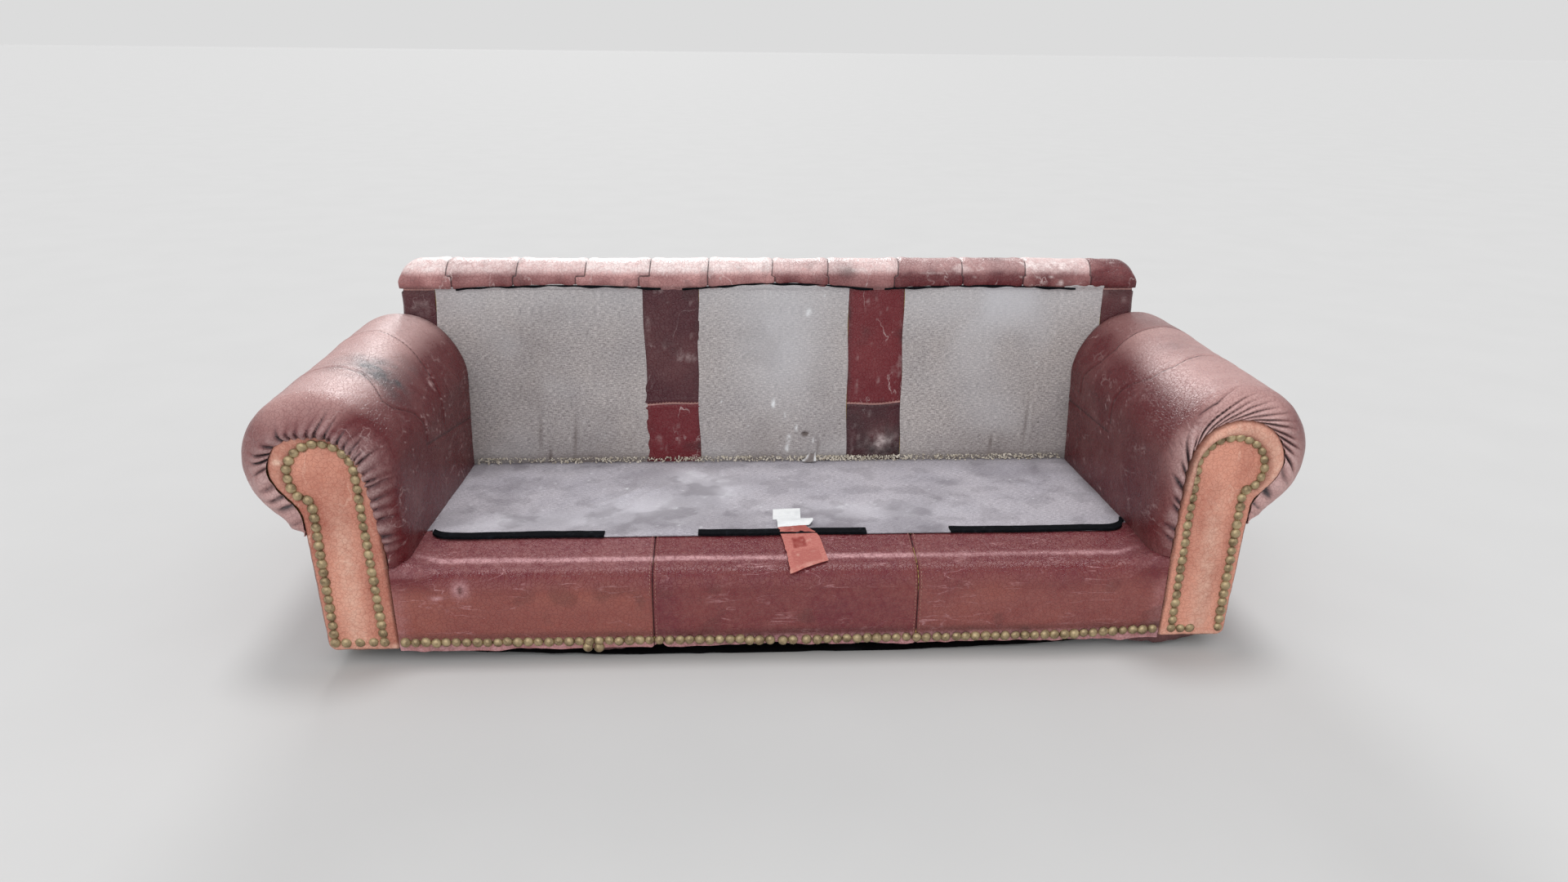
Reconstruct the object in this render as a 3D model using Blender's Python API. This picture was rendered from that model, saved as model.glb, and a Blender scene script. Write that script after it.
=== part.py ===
# A worn three-seat leather sofa with rolled arms, stripped of its loose cushions.
# Metres, +Z up, front towards -Y, origin on the floor below the middle of the sofa.

import math

import bmesh
import bpy
from mathutils import Vector

for old_object in list(bpy.data.objects):
    bpy.data.objects.remove(old_object, do_unlink=True)

# Overall sizes
overall_width = 2.200        # over the two arm rolls
overall_depth = 0.848        # padded facings to outside back
overall_height = 0.719       # floor to the crest of the top roll

# Stance
ground_gap = 0.030           # floor to the lower edge of the leather
rail_bottom = 0.040          # floor to the underside of the frame
foot_radius = 0.025
foot_setback = 0.095         # front of the foot behind the front plane
foot_clearance = 0.010       # rear foot ahead of the rear seat rail's back face

# Arms
arm_width = 0.310            # inner wall to the outermost roll
arm_roll_radius = 0.148
arm_roll_axis = 0.444        # floor to the axis of the roll
arm_nose = 0.060             # length over which the roll rounds over to the facing
roll_overhang = 0.140        # roll beyond the outside arm panel
arm_wall_pad = 0.035         # foam on the inner wall
arm_floor = 0.331            # underside of the padding in the roll

# Scroll facings
facing_thickness = 0.008
facing_crown = 0.003         # padded middle ahead of the nailing line
facing_inset = 0.031         # stem behind the inner wall, at the bottom
facing_head_radius = 0.100
facing_head_axis = 0.437
facing_head_offset = 0.018   # head centre inward of the roll's axis
facing_neck = 0.335          # floor to the neck, where the stem turns into the scroll
facing_border = 0.030        # edge to nailing line
post_inset = 0.024           # facing edge beyond the scroll board

# Seat
rail_nose_radius = 0.045
rail_top_front = 0.2045      # height that the nosing is rounded from
deck_front = 0.130           # front plane to the edge of the deck canvas
deck_front_height = 0.2245
deck_rear_height = 0.193
rail_seam = 0.283            # seams of the front rail from the middle
tape_width = 0.027
tape_spans = (               # hook tapes, as shares of the inner half width
    ("left", -0.978, -0.500),
    ("middle", -0.239, 0.234),
    ("right", 0.473, 0.994),
)
label_thickness = 0.0012
label_left = -0.022          # white label
label_right = 0.060
label_setback = 0.172        # front plane to the white label
label_length = 0.095
flap_left = -0.015           # salmon label that hangs over the front
flap_right = 0.076
spring_count = 9
spring_wire = 0.002          # radius
spring_sway = 0.022          # half the width of the zigzag
spring_waves = 9
spring_crown = 0.0139        # rise of the spring's arch
spring_margin = 0.090        # outermost spring from the inner wall of the arm
spring_setback = 0.045       # front plane to the springs' front ends
spring_seat = 0.009          # springs over the rear seat rail

# Back
back_thickness = 0.195       # canvas to outside back at the level of the deck
back_rake = 0.1087           # run back for each metre up
outside_rake = 0.0217        # lean of the outside back
back_inset = 0.152           # side of the back inward of the roll
back_pad_thickness = 0.045
canvas_tuck = 0.043          # back canvas below the level of the deck
strap_offset = 0.266         # straps from the middle
strap_width = 0.145
end_strip = 0.088            # leather end of the back beside each side canvas
top_roll_radius = 0.050
top_roll_lead = 0.010        # front of the top roll ahead of the canvas
top_roll_lip = 0.0165        # lower edge of the roll's cover below its axis
top_roll_tail = 0.078        # rear edge of the roll's cover below the crest
end_squeeze = 0.10           # how far the roll narrows at its ends, as a share
end_drop = 0.92              # how far its crest falls there, as a share of its radius

# Stock
cover = 0.003                # leather with its wadding
cloth = 0.002                # canvas
gap = 0.0003                 # between pieces that touch
board = 0.028                # rails
upright_board = 0.020
front_board = 0.0247         # scroll boards
arm_rail_width = 0.058
arm_rail_depth = 0.0222
arm_rail_inset = 0.012       # from the outer face of the rear post
rail_height = 0.117          # floor to the top of the seat rails
side_rail_rise = 0.023       # side rails above the seat rails
upright_width = 0.060

# Places worked out from the sizes above
front_y = -overall_depth / 2 + facing_crown
back_y = overall_depth / 2
roll_x = overall_width / 2 - arm_roll_radius
wall_x = overall_width / 2 - arm_width
panel_x = overall_width / 2 - roll_overhang
back_x = overall_width / 2 - back_inset
canvas_reach = back_x - end_strip
head_x = roll_x - facing_head_offset
junction_y = back_y - back_thickness
junction_z = deck_rear_height
post_front_y = front_y + facing_thickness + gap
post_rear_y = post_front_y + front_board
side_rail_x = panel_x - cover - gap
foot_offset = side_rail_x - foot_radius - 0.001
back_post_x = back_x - cover - gap
spring_z = rail_height + gap + spring_wire
pad_floor = spring_z + spring_crown + spring_wire + gap
rear_rail_y = junction_y + 0.025

sides = (("left", -1), ("right", 1))


def canvas_y(z):
    return junction_y + back_rake * (z - junction_z)


def outside_y(z):
    return back_y - outside_rake * (z - ground_gap)


def deck_z(y):
    share = (y - front_y - deck_front) / (junction_y - front_y - deck_front)
    return deck_front_height + (deck_rear_height - deck_front_height) * max(0.0, share)


top_axis_z = overall_height - top_roll_radius
roll_axis_y = canvas_y(top_axis_z) - top_roll_lead + top_roll_radius
top_roll_tail_z = overall_height - top_roll_tail
canvas_top = top_axis_z - 0.009
post_front_top = canvas_y(canvas_top) + 0.034
top_rail_rear = canvas_y(canvas_top) + cloth + back_pad_thickness + upright_board


def make_material(name, colour, roughness, metallic=0.0):
    material = bpy.data.materials.new(name)
    material.use_nodes = True
    shader = material.node_tree.nodes["Principled BSDF"]
    shader.inputs["Base Color"].default_value = (*colour, 1.0)
    shader.inputs["Roughness"].default_value = roughness
    shader.inputs["Metallic"].default_value = metallic
    return material


tan_leather = make_material("tan leather", (0.47, 0.20, 0.14), 0.55)
red_leather = make_material("oxblood leather", (0.20, 0.05, 0.06), 0.40)
canvas = make_material("grey canvas", (0.32, 0.31, 0.31), 0.95)
foam = make_material("foam", (0.62, 0.50, 0.28), 0.95)
hardwood = make_material("hardwood", (0.40, 0.26, 0.14), 0.70)
spring_steel = make_material("spring steel", (0.30, 0.30, 0.31), 0.40, 1.0)
black_cloth = make_material("black cloth", (0.02, 0.02, 0.025), 0.95)
white_cloth = make_material("white cloth", (0.80, 0.83, 0.84), 0.90)
salmon_cloth = make_material("salmon cloth", (0.55, 0.19, 0.15), 0.85)
hard_plastic = make_material("black plastic", (0.02, 0.02, 0.02), 0.50)


def add_object(name, data, material, smooth_angle=None):
    made = bpy.data.objects.new(name, data)
    bpy.context.scene.collection.objects.link(made)
    data.materials.append(material)
    if smooth_angle is not None:
        data.shade_smooth()
        data.set_sharp_from_angle(angle=math.radians(smooth_angle))
    return made


def box(name, low, high, material):
    """A sawn board or block with slightly broken edges."""
    corners = [(x, y, z) for x in (low[0], high[0]) for y in (low[1], high[1]) for z in (low[2], high[2])]
    faces = [(0, 1, 3, 2), (4, 6, 7, 5), (0, 4, 5, 1), (2, 3, 7, 6), (0, 2, 6, 4), (1, 5, 7, 3)]
    mesh = bpy.data.meshes.new(name)
    mesh.from_pydata(corners, [], faces)
    made = add_object(name, mesh, material)
    edge = made.modifiers.new("Broken edges", "BEVEL")
    edge.width = 0.002
    edge.segments = 1
    return made


def loft(name, rings, material, side=1, smooth_angle=40):
    """A solid through closed rings of points; side -1 mirrors it across the sofa's middle."""
    count = len(rings[0])
    points = [(side * x, y, z) for ring in rings for x, y, z in ring]
    faces = [tuple(range(count - 1, -1, -1)), tuple(range(len(points) - count, len(points)))]
    for row in range(len(rings) - 1):
        for step in range(count):
            after = (step + 1) % count
            base = row * count
            faces.append((base + step, base + after, base + count + after, base + count + step))
    mesh = bpy.data.meshes.new(name)
    mesh.from_pydata(points, [], faces)
    shell = bmesh.new()
    shell.from_mesh(mesh)
    bmesh.ops.recalc_face_normals(shell, faces=shell.faces)
    shell.to_mesh(mesh)
    shell.free()
    return add_object(name, mesh, material, smooth_angle)


def sheet(name, rows, thickness, outward, material, smooth_angle=40):
    """A leather or cloth sheet: rows of points on its outer face, thickened inward. The
    direction outward says which way the middle of the sheet looks."""
    count = len(rows[0])
    points = [Vector(point) for row in rows for point in row]
    middle = (len(rows) - 1) // 2 * count + (count - 1) // 2
    one, two, three = points[middle], points[middle + 1], points[middle + count]
    flip = (two - one).cross(three - one).dot(Vector(outward)) < 0
    faces = []
    for row in range(len(rows) - 1):
        for step in range(count - 1):
            start = row * count + step
            face = (start, start + 1, start + count + 1, start + count)
            faces.append(face[::-1] if flip else face)
    mesh = bpy.data.meshes.new(name)
    mesh.from_pydata(points, [], faces)
    made = add_object(name, mesh, material, smooth_angle)
    wall = made.modifiers.new("Thickness", "SOLIDIFY")
    wall.thickness = thickness
    wall.offset = -1.0
    return made


def arc(centre, radius, start, end, steps):
    """Points on an arc, angles in degrees; radius may be a pair for an ellipse."""
    across, up = radius if isinstance(radius, tuple) else (radius, radius)
    points = []
    for step in range(steps + 1):
        angle = math.radians(start + (end - start) * step / steps)
        points.append((centre[0] + across * math.cos(angle), centre[1] + up * math.sin(angle)))
    return points


def bezier(controls, steps):
    """Points on a quadratic or cubic Bezier curve."""
    points = []
    for step in range(steps + 1):
        t = step / steps
        level = list(controls)
        while len(level) > 1:
            level = [(a[0] + (b[0] - a[0]) * t, a[1] + (b[1] - a[1]) * t) for a, b in zip(level, level[1:])]
        points.append(level[0])
    return points


def line(start, end, steps):
    return [
        (start[0] + (end[0] - start[0]) * step / steps, start[1] + (end[1] - start[1]) * step / steps)
        for step in range(steps + 1)
    ]


def join_paths(*paths):
    """One path from several that share their end points."""
    joined = list(paths[0])
    for path in paths[1:]:
        joined.extend(path[1:])
    return joined


def shift_path(path, distance):
    """An open path moved to its left by a distance."""
    moved = []
    for index, point in enumerate(path):
        before = path[max(index - 1, 0)]
        after = path[min(index + 1, len(path) - 1)]
        run = (after[0] - before[0], after[1] - before[1])
        length = math.hypot(*run)
        moved.append((point[0] - run[1] / length * distance, point[1] + run[0] / length * distance))
    return moved


def spread(start, end, steps):
    return [start + (end - start) * step / steps for step in range(steps + 1)]


# Scroll facings: a straight stem, an S-shaped neck and a round head, drawn for the right arm.
# The stretch from the neck over the head and down the inner edge also guides the arm's cover.

stem_bottom_in = wall_x + facing_inset
stem_top_in = stem_bottom_in + 0.008
stem_bottom_out = panel_x + 0.009
stem_top_out = stem_bottom_out + 0.010
shoulder_z = facing_head_axis - 0.037
head_centre = (head_x, facing_head_axis)
head_start = 5
head_end = 160
head_steps = 16
neck_steps = 7
shoulder_steps = 3
stem_steps = 4


def facing_inner_x(z):
    share = (z - ground_gap) / (shoulder_z - ground_gap)
    return stem_bottom_in + (stem_top_in - stem_bottom_in) * share


def facing_outer_x(z):
    share = (z - ground_gap) / (facing_neck - ground_gap)
    return stem_bottom_out + (stem_top_out - stem_bottom_out) * share


def facing_guide(roll_bottom, wall_bottom):
    """Edge of the facing from below the neck, over the head and down the inner side."""
    head = arc(head_centre, facing_head_radius, head_start, head_end, head_steps)
    under = line((facing_outer_x(roll_bottom), roll_bottom), (stem_top_out, facing_neck), 2)
    neck = bezier([under[-1], (stem_top_out, facing_neck + 0.040), (head[0][0], head[0][1] - 0.050), head[0]],
                  neck_steps - 2)
    shoulder_low = (stem_top_in, shoulder_z)
    shoulder = bezier([head[-1], (stem_top_in + 0.001, shoulder_z + 0.040), shoulder_low], shoulder_steps)
    stem = line(shoulder_low, (facing_inner_x(wall_bottom), wall_bottom), stem_steps)
    return join_paths(under, neck, head, shoulder, stem)


def facing_outline():
    """Closed outline of a facing, anticlockwise in X and Z."""
    foot_out = 0.018
    foot_in = 0.006
    low_out = arc((stem_bottom_out - foot_out, ground_gap + foot_out), foot_out, -90, 0, 4)
    low_in = arc((stem_bottom_in + foot_in, ground_gap + foot_in), foot_in, 180, 270, 2)
    guide = facing_guide(facing_neck * 0.55, facing_neck * 0.55)
    return low_out + guide + low_in


def towards_spine(points, distance):
    """Outline points moved towards the middle line of the stem and the head."""
    foot = Vector(((stem_bottom_in + stem_bottom_out) / 2, ground_gap + 0.075))
    head = Vector(head_centre)
    axis = head - foot
    moved = []
    for point in points:
        here = Vector(point)
        share = min(1.0, max(0.0, (here - foot).dot(axis) / axis.length_squared))
        to_spine = foot + axis * share - here
        moved.append(tuple(here + to_spine.normalized() * distance))
    return moved


def make_facing(name, side):
    """Leather facing: a rolled border, the sunk nailing line and a padded middle."""
    outline = facing_outline()
    section = (
        (0.000, facing_thickness),
        (0.000, 0.0035),
        (0.004, 0.0005),
        (0.012, -0.0020),
        (0.022, -0.0008),
        (facing_border, 0.0012),
        (facing_border + 0.006, -0.0012),
        (facing_border + 0.016, -facing_crown),
    )
    rings = []
    for inward, level in reversed(section):
        ring = towards_spine(outline, inward)
        rings.append([(x, front_y + level, z) for x, z in ring])
    return loft(name, rings, tan_leather, side)


def make_scroll_board(name, side):
    """The board behind a facing, cut to the same scroll a little smaller."""
    ring = towards_spine(facing_outline(), post_inset)
    ends = [[(x, y, z) for x, z in ring] for y in (post_front_y, post_rear_y)]
    return loft(name, ends, hardwood, side, 30)


# Arms: one roll profile, lofted from the back to the nose, where it closes in on the facing.

pad_ease = 0.0022            # foam inside the cover where the profile changes
cover_tuck = 0.0032          # cover's front edge outside the facing
wall_start = 140
tuck_start = -90             # where the cover meets the outside panel
nose_start = -79             # where it passes the facing's outer edge
wall_bend_drop = 0.0512      # length of wall over which the bend runs out
roll_bottom_z = arm_roll_axis - arm_roll_radius
panel_top = roll_bottom_z - 0.0006
panel_rise = 0.064           # step up of the outside arm behind the roll
panel_top_rear = panel_top + panel_rise


def arm_wall_bottom(y):
    return deck_z(y) + 0.001


def arm_profile(y, start=tuck_start):
    """Outer face of the cover: under the roll, round it and down the inner wall."""
    centre = (roll_x, arm_roll_axis)
    low = arc(centre, arm_roll_radius, start, -22, neck_steps)
    high = arc(centre, arm_roll_radius, -22, wall_start, head_steps)
    turn = math.radians(wall_start)
    leave = high[-1]
    fall = (leave[0] - wall_x) / math.sin(turn)
    corner = (wall_x, leave[1] + fall * math.cos(turn))
    bend_end = (wall_x, corner[1] - wall_bend_drop)
    bend = bezier([leave, corner, bend_end], shoulder_steps)
    wall = line(bend_end, (wall_x, arm_wall_bottom(y)), stem_steps)
    return join_paths(low, high, bend, wall)


def arm_rear_y(z):
    return canvas_y(z) - 0.0007


def nose_row(turn):
    """Profile part-way round the nose: 0 degrees is the full roll, 90 the facing's edge."""
    angle = math.radians(turn)
    y = front_y + arm_nose - (arm_nose - 0.003) * math.sin(angle)
    outer = arm_profile(y, nose_start)
    guide = shift_path(facing_guide(outer[0][1], arm_wall_bottom(y)), -cover_tuck)
    blend = math.cos(angle)
    row = [(b[0] + (a[0] - b[0]) * blend, b[1] + (a[1] - b[1]) * blend) for a, b in zip(outer, guide)]
    return y, row


def make_arm_cover(name, side):
    """Leather over the roll and the inner wall, turned in at the rear and gathered in front."""
    rows = []
    tuck_centre = (panel_x - 0.062, arm_roll_axis - 0.020)
    for share in (0.20, 1.0):
        row = []
        for x, z in arm_profile(junction_y):
            x = tuck_centre[0] + (x - tuck_centre[0]) * share
            z = tuck_centre[1] + (z - tuck_centre[1]) * share
            row.append((side * x, arm_rear_y(z), z))
        rows.append(row)
    deck_y = front_y + deck_front
    for share in (0.5, 1.0):
        row = []
        for (x, z), (rear_x, rear_z) in zip(arm_profile(deck_y), arm_profile(junction_y)):
            y = arm_rear_y(rear_z) + (deck_y - arm_rear_y(rear_z)) * share
            row.append((side * x, y, rear_z + (z - rear_z) * share))
        rows.append(row)
    for turn in (0, 25, 48, 70, 90):
        y, path = nose_row(turn)
        rows.append([(side * x, y, z) for x, z in path])
    return sheet(name, rows, cover, (0, 0, 1), red_leather)


def make_arm_pad(name, side):
    """Foam of the roll and the inner wall, open below for the frame."""
    depth = cover + gap
    inner_x = wall_x + depth + arm_wall_pad

    def ring(path, bottom, inset):
        inside = shift_path(path, inset)
        low = bottom + 0.001
        inside[-1] = (inside[-1][0], low)
        return inside + [(inner_x, low), (inner_x, arm_floor), (roll_x + 0.020, arm_floor)]

    pad_front = post_rear_y + gap
    turn = math.degrees(math.asin((front_y + arm_nose - pad_front) / (arm_nose - 0.003)))
    nose = nose_row(turn)[1]
    deck_y = front_y + deck_front
    rings = [[(x, pad_front, z) for x, z in ring(nose, arm_wall_bottom(pad_front), 2.5 * depth)]]
    for y in (front_y + arm_nose, deck_y):
        path = arm_profile(y, nose_start)
        rings.append([(x, y, z) for x, z in ring(path, arm_wall_bottom(y), depth + pad_ease)])
    rear = ring(arm_profile(junction_y, nose_start), arm_wall_bottom(junction_y), depth)
    rings.append([(x, arm_rear_y(z) - depth, z) for x, z in rear])
    return loft(name, rings, foam, side)


def make_outside_arm(name, side):
    """Leather panel below the roll; behind the arm it rises to the back."""
    step_y = canvas_y(panel_top_rear)
    tops = (
        (post_front_y, panel_top),
        (front_y + overall_depth * 0.3, panel_top),
        (front_y + overall_depth * 0.55, panel_top),
        (step_y + 0.0005, panel_top),
        (step_y + 0.004, panel_top_rear),
        (outside_y(panel_top_rear) - cover - gap, panel_top_rear),
    )
    rows = []
    for y, top in tops:
        rows.append([(side * panel_x, y, z) for z in spread(ground_gap + 0.002, top, 3)])
    return sheet(name, rows, cover, (side, 0, 0), red_leather)


# Front rail: a boxed edge with a rounded nosing, covered by three sewn panels.


def rail_section(offset):
    """Outer face of the rail in Y and Z, from the bottom edge to the deck, moved inward."""
    radius = rail_nose_radius
    centre = (front_y + radius, rail_top_front - radius)
    front = line((front_y, ground_gap), (front_y, centre[1]), 3)
    nose = arc(centre, radius, 180, 98, 5)
    top = line(nose[-1], (front_y + deck_front, deck_front_height - 0.001), 2)
    return shift_path(join_paths(front, nose, top), -offset)


def make_rail_cover(name, start, end):
    section = rail_section(0.0)
    rows = []
    for share in spread(0.0, 1.0, 4):
        row = []
        for y, z in section:
            low = -facing_inner_x(z) + 0.0008 if start is None else start
            high = facing_inner_x(z) - 0.0008 if end is None else end
            row.append((low + (high - low) * share, y, z))
        rows.append(row)
    return sheet(name, rows, cover, (0, -1, 1), red_leather)


def make_rail_pad(name):
    """Foam on the front of the rail and under the nosing."""
    face = rail_section(cover + gap)
    face[0] = (face[0][0], rail_bottom)
    face[-1] = (front_y + deck_front + 0.007, face[-1][1])
    end_x = stem_bottom_in - 0.001
    front_face = post_rear_y
    section = face + [
        (face[-1][0], pad_floor),
        (front_face, pad_floor),
        (front_face, rail_bottom),
    ]
    rings = [[(x, y, z) for y, z in section] for x in (-end_x, end_x)]
    return loft(name, rings, foam, 1, 30)


# Deck


def make_deck_canvas():
    edge = wall_x + 0.012
    rows = []
    for y in spread(front_y + deck_front + 0.0012, junction_y - 0.005, 6):
        rows.append([(x, y, deck_z(y)) for x in spread(-edge, edge, 8)])
    return sheet("deck_canvas", rows, cloth, (0, 0, 1), canvas)


def make_deck_pad():
    edge = wall_x + 0.010
    start = front_y + deck_front + 0.0073
    end = junction_y - 0.006
    below = cloth + gap
    ring = [(start, pad_floor), (end, pad_floor), (end, deck_z(end) - below), (start, deck_z(start) - below)]
    rings = [[(x, y, z) for y, z in ring] for x in (edge, -edge)]
    return loft("deck_pad", rings, foam, 1, 30)


def make_hook_tape(name, start, end):
    front = front_y + deck_front + 0.0015
    rows = []
    for y in (front, front + tape_width):
        rows.append([(x, y, deck_z(y) + gap + cloth) for x in spread(start, end, 3)])
    return sheet(name, rows, cloth, (0, 0, 1), black_cloth)


def make_spring(name, x):
    """Sinuous wire spring, arched from the front rail to the rear one."""
    start = front_y + spring_setback
    end = rear_rail_y + spring_seat
    curve = bpy.data.curves.new(name, "CURVE")
    curve.dimensions = "3D"
    curve.bevel_depth = spring_wire
    curve.bevel_resolution = 0
    curve.use_fill_caps = True
    steps = spring_waves * 6
    spline = curve.splines.new("POLY")
    spline.points.add(steps)
    for step, point in enumerate(spline.points):
        share = step / steps
        sway = spring_sway * math.sin(2 * math.pi * spring_waves * share + math.pi / 6)
        rise = spring_crown * math.sin(math.pi * share)
        point.co = (x + sway, start + (end - start) * share, spring_z + rise, 1.0)
    return add_object(name, curve, spring_steel)


# Back


def make_back_sheet(name, start, end, material):
    """Canvas panel or leather strap on the raked front of the back."""
    low = junction_z - canvas_tuck
    rows = []
    for z in spread(low, canvas_top, 6):
        rows.append([(x, canvas_y(z), z) for x in spread(start, end, 4)])
    return sheet(name, rows, cloth, (0, -1, 0), material)


def make_back_pad():
    low = spring_z + spring_wire + 0.005
    high = canvas_top
    front = cloth + gap
    rear = front + back_pad_thickness - gap
    ring = [
        (canvas_y(low) + front, low),
        (canvas_y(low) + rear, low),
        (canvas_y(high) + rear, high),
        (canvas_y(high) + front, high),
    ]
    rings = [[(x, y, z) for y, z in ring] for x in (canvas_reach, -canvas_reach)]
    return loft("back_pad", rings, foam, 1, 30)


def make_back_end(name, side):
    """Leather round the side of the back, from the canvas to the outside back."""
    corner = 0.020
    low = arm_floor + 0.004
    side_top = top_roll_tail_z - 0.001
    rows = []
    for share in spread(0.0, 1.0, 4):
        row = []
        for inward in (back_x - canvas_reach - gap, corner + 0.020):
            z = low + (canvas_top - low) * share
            row.append((side * (back_x - inward), canvas_y(z), z))
        for turn in (0, 30, 60, 90):
            angle = math.radians(turn)
            top = canvas_top if turn < 30 else side_top
            z = low + (top - low) * share
            x = back_x - corner + corner * math.sin(angle)
            row.append((side * x, canvas_y(z) + corner * (1 - math.cos(angle)), z))
        z = low + (side_top - low) * share
        row.append((side * back_x, outside_y(z) - cover - gap, z))
        rows.append(row)
    return sheet(name, rows, cover, (side, -1, 0), red_leather)


def top_roll_section(inset):
    """Section of the top roll in Y and Z: front lip, crest and the slope to the rear."""
    front_radius = top_roll_radius - inset
    rear_reach = outside_y(top_axis_z) - roll_axis_y - inset
    lip = 180 + math.degrees(math.asin(top_roll_lip / top_roll_radius))
    front = arc((roll_axis_y, top_axis_z), front_radius, lip, 90, 7)
    rear = arc((roll_axis_y, top_axis_z), (rear_reach, front_radius), 90, 0, 6)
    return join_paths(front, rear)


def top_roll_row(x, half, inset):
    """The section at one place along the roll, rounded off towards its ends."""
    beyond = max(0.0, abs(x) - (half - top_roll_radius)) / top_roll_radius
    fall = 1 - math.sqrt(max(0.0, 1 - beyond * beyond))
    squeeze = 1 - end_squeeze * fall
    middle_y = roll_axis_y + 0.02
    row = []
    for y, z in top_roll_section(inset):
        z -= end_drop * fall * max(0.0, z - top_axis_z)
        row.append((x, middle_y + (y - middle_y) * squeeze, z))
    return row


def roll_stations(half):
    ends = [half - top_roll_radius * (1 - math.sin(math.radians(a))) for a in (90, 70, 48, 24, 0)]
    inner = [half * share for share in (0.62, 0.31)]
    return [-x for x in ends + inner] + [0.0] + list(reversed(ends + inner))


def make_top_roll_cover():
    rows = []
    for x in roll_stations(back_x):
        row = top_roll_row(x, back_x, 0.0)
        last = row[-1]
        row.append((last[0], last[1] + outside_y(top_roll_tail_z) - outside_y(last[2]), top_roll_tail_z))
        rows.append(row)
    centre_y = roll_axis_y + 0.030
    centre_z = top_roll_tail_z + 0.002
    shrink = 0.25
    for end in (0, -1):
        closing = []
        for x, y, z in rows[end]:
            closing.append((x, centre_y + (y - centre_y) * shrink, centre_z + (z - centre_z) * shrink))
        if end == 0:
            rows.insert(0, closing)
        else:
            rows.append(closing)
    return sheet("top_roll_cover", rows, cover, (0, 0, 1), red_leather)


def make_top_roll_pad():
    inset = cover + 3 * gap
    half = back_x - inset
    rings = []
    for x in roll_stations(half):
        row = [point for point in top_roll_row(x, half, inset) if point[2] > canvas_top + 0.002]
        rings.append(row)
    count = min(len(ring) for ring in rings)
    closed = []
    for ring in rings:
        ring = ring[:count]
        low = canvas_top + gap
        front_foot = (ring[0][0], ring[0][1] + 0.004, low)
        rear_foot = (ring[-1][0], ring[-1][1] - 0.004, low)
        closed.append(ring + [rear_foot, front_foot])
    return loft("top_roll_pad", closed, foam, 1, 40)


def make_outside_back():
    """Leather over the whole back: as wide as the outside arms, then as the back above them."""
    rows = []
    for z in spread(ground_gap + 0.002, panel_top_rear, 3):
        rows.append([(x, outside_y(z), z) for x in spread(-panel_x, panel_x, 6)])
    for z in spread(panel_top_rear + 0.004, top_roll_tail_z - 0.001, 3):
        rows.append([(x, outside_y(z), z) for x in spread(-back_x, back_x, 6)])
    return sheet("outside_back", rows, cover, (0, 1, 0), red_leather)


# Frame


def make_back_post(name, side):
    """Rear post: a wide board cut to the rake of the back."""
    inner = back_post_x - board
    front_low = rear_rail_y + board + gap
    front_high = post_front_top
    rear = cover + gap
    top = top_roll_tail_z - 0.002
    ring = [
        (front_low, rail_bottom),
        (outside_y(rail_bottom) - rear, rail_bottom),
        (outside_y(top) - rear, top),
        (front_high, top),
    ]
    rings = [[(x, y, z) for y, z in ring] for x in (back_post_x, inner)]
    return loft(name, rings, hardwood, side, 30)


def make_upright(name, x):
    """Board behind a strap, on the rear seat rail and against the top rail."""
    half = upright_width / 2
    low = rail_height + gap
    high = canvas_top - 0.002
    front = cloth + gap + back_pad_thickness
    rear = front + upright_board - gap
    ring = [
        (canvas_y(low) + front, low),
        (canvas_y(low) + rear, low),
        (canvas_y(high) + rear, high),
        (canvas_y(high) + front, high),
    ]
    rings = [[(place, y, z) for y, z in ring] for place in (x + half, x - half)]
    return loft(name, rings, hardwood, 1, 30)


def make_foot(name, x, y):
    height = rail_bottom - gap
    rings = []
    for radius, z in ((foot_radius - 0.003, height), (foot_radius - 0.003, 0.008), (foot_radius, 0.005),
                      (foot_radius, 0.001), (foot_radius - 0.001, 0.0)):
        rings.append([(x + a, y + b, z) for a, b in arc((0.0, 0.0), radius, 360, 24, 14)])
    return loft(name, rings, hard_plastic, 1, 40)


def make_dust_cover():
    """Black cloth under the frame, still tacked at the sides and back, hanging loose in front."""
    edge = foot_offset - foot_radius - 0.002
    start = front_y + 0.010
    end = outside_y(rail_bottom) - cover - 0.004
    top = rail_bottom - gap
    rows = []
    for share in spread(0.0, 1.0, 5):
        row = []
        for x in spread(-edge, edge, 12):
            across = max(0.0, 1 - (x / edge) ** 2)
            sag = (ground_gap - 0.002) * across ** 0.8 * (1 - share ** 1.5)
            row.append((x, start + (end - start) * share, top - sag))
        rows.append(row)
    return sheet("dust_cover", rows, cloth, (0, 0, 1), black_cloth)


def make_label_flap():
    """Torn salmon label that hangs from the deck over the tape and the nosing."""
    section = rail_section(-0.0022)
    path = section[5:]
    tape_top = 2 * cloth + 4 * gap
    rear = front_y + deck_front + tape_width + 0.010
    path[-1] = (front_y + deck_front - 0.002, deck_z(front_y) + tape_top + 0.0022)
    path.append((rear, deck_z(rear) + tape_top + 0.0015))
    rows = []
    for y, z in path:
        rows.append([(x, y, z) for x in spread(flap_left, flap_right, 2)])
    return sheet("label_flap", rows, label_thickness, (0, -1, 1), salmon_cloth)


def make_label_white():
    start = front_y + label_setback
    rows = []
    for y in spread(start, start + label_length, 2):
        rows.append([(x, y, deck_z(y) + gap + label_thickness) for x in spread(label_left, label_right, 2)])
    return sheet("label_white", rows, label_thickness, (0, 0, 1), white_cloth)


# Assembly

side_rail_inner = side_rail_x - board
post_inner = back_post_x - board
top_rail_y = top_rail_rear + gap

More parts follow.
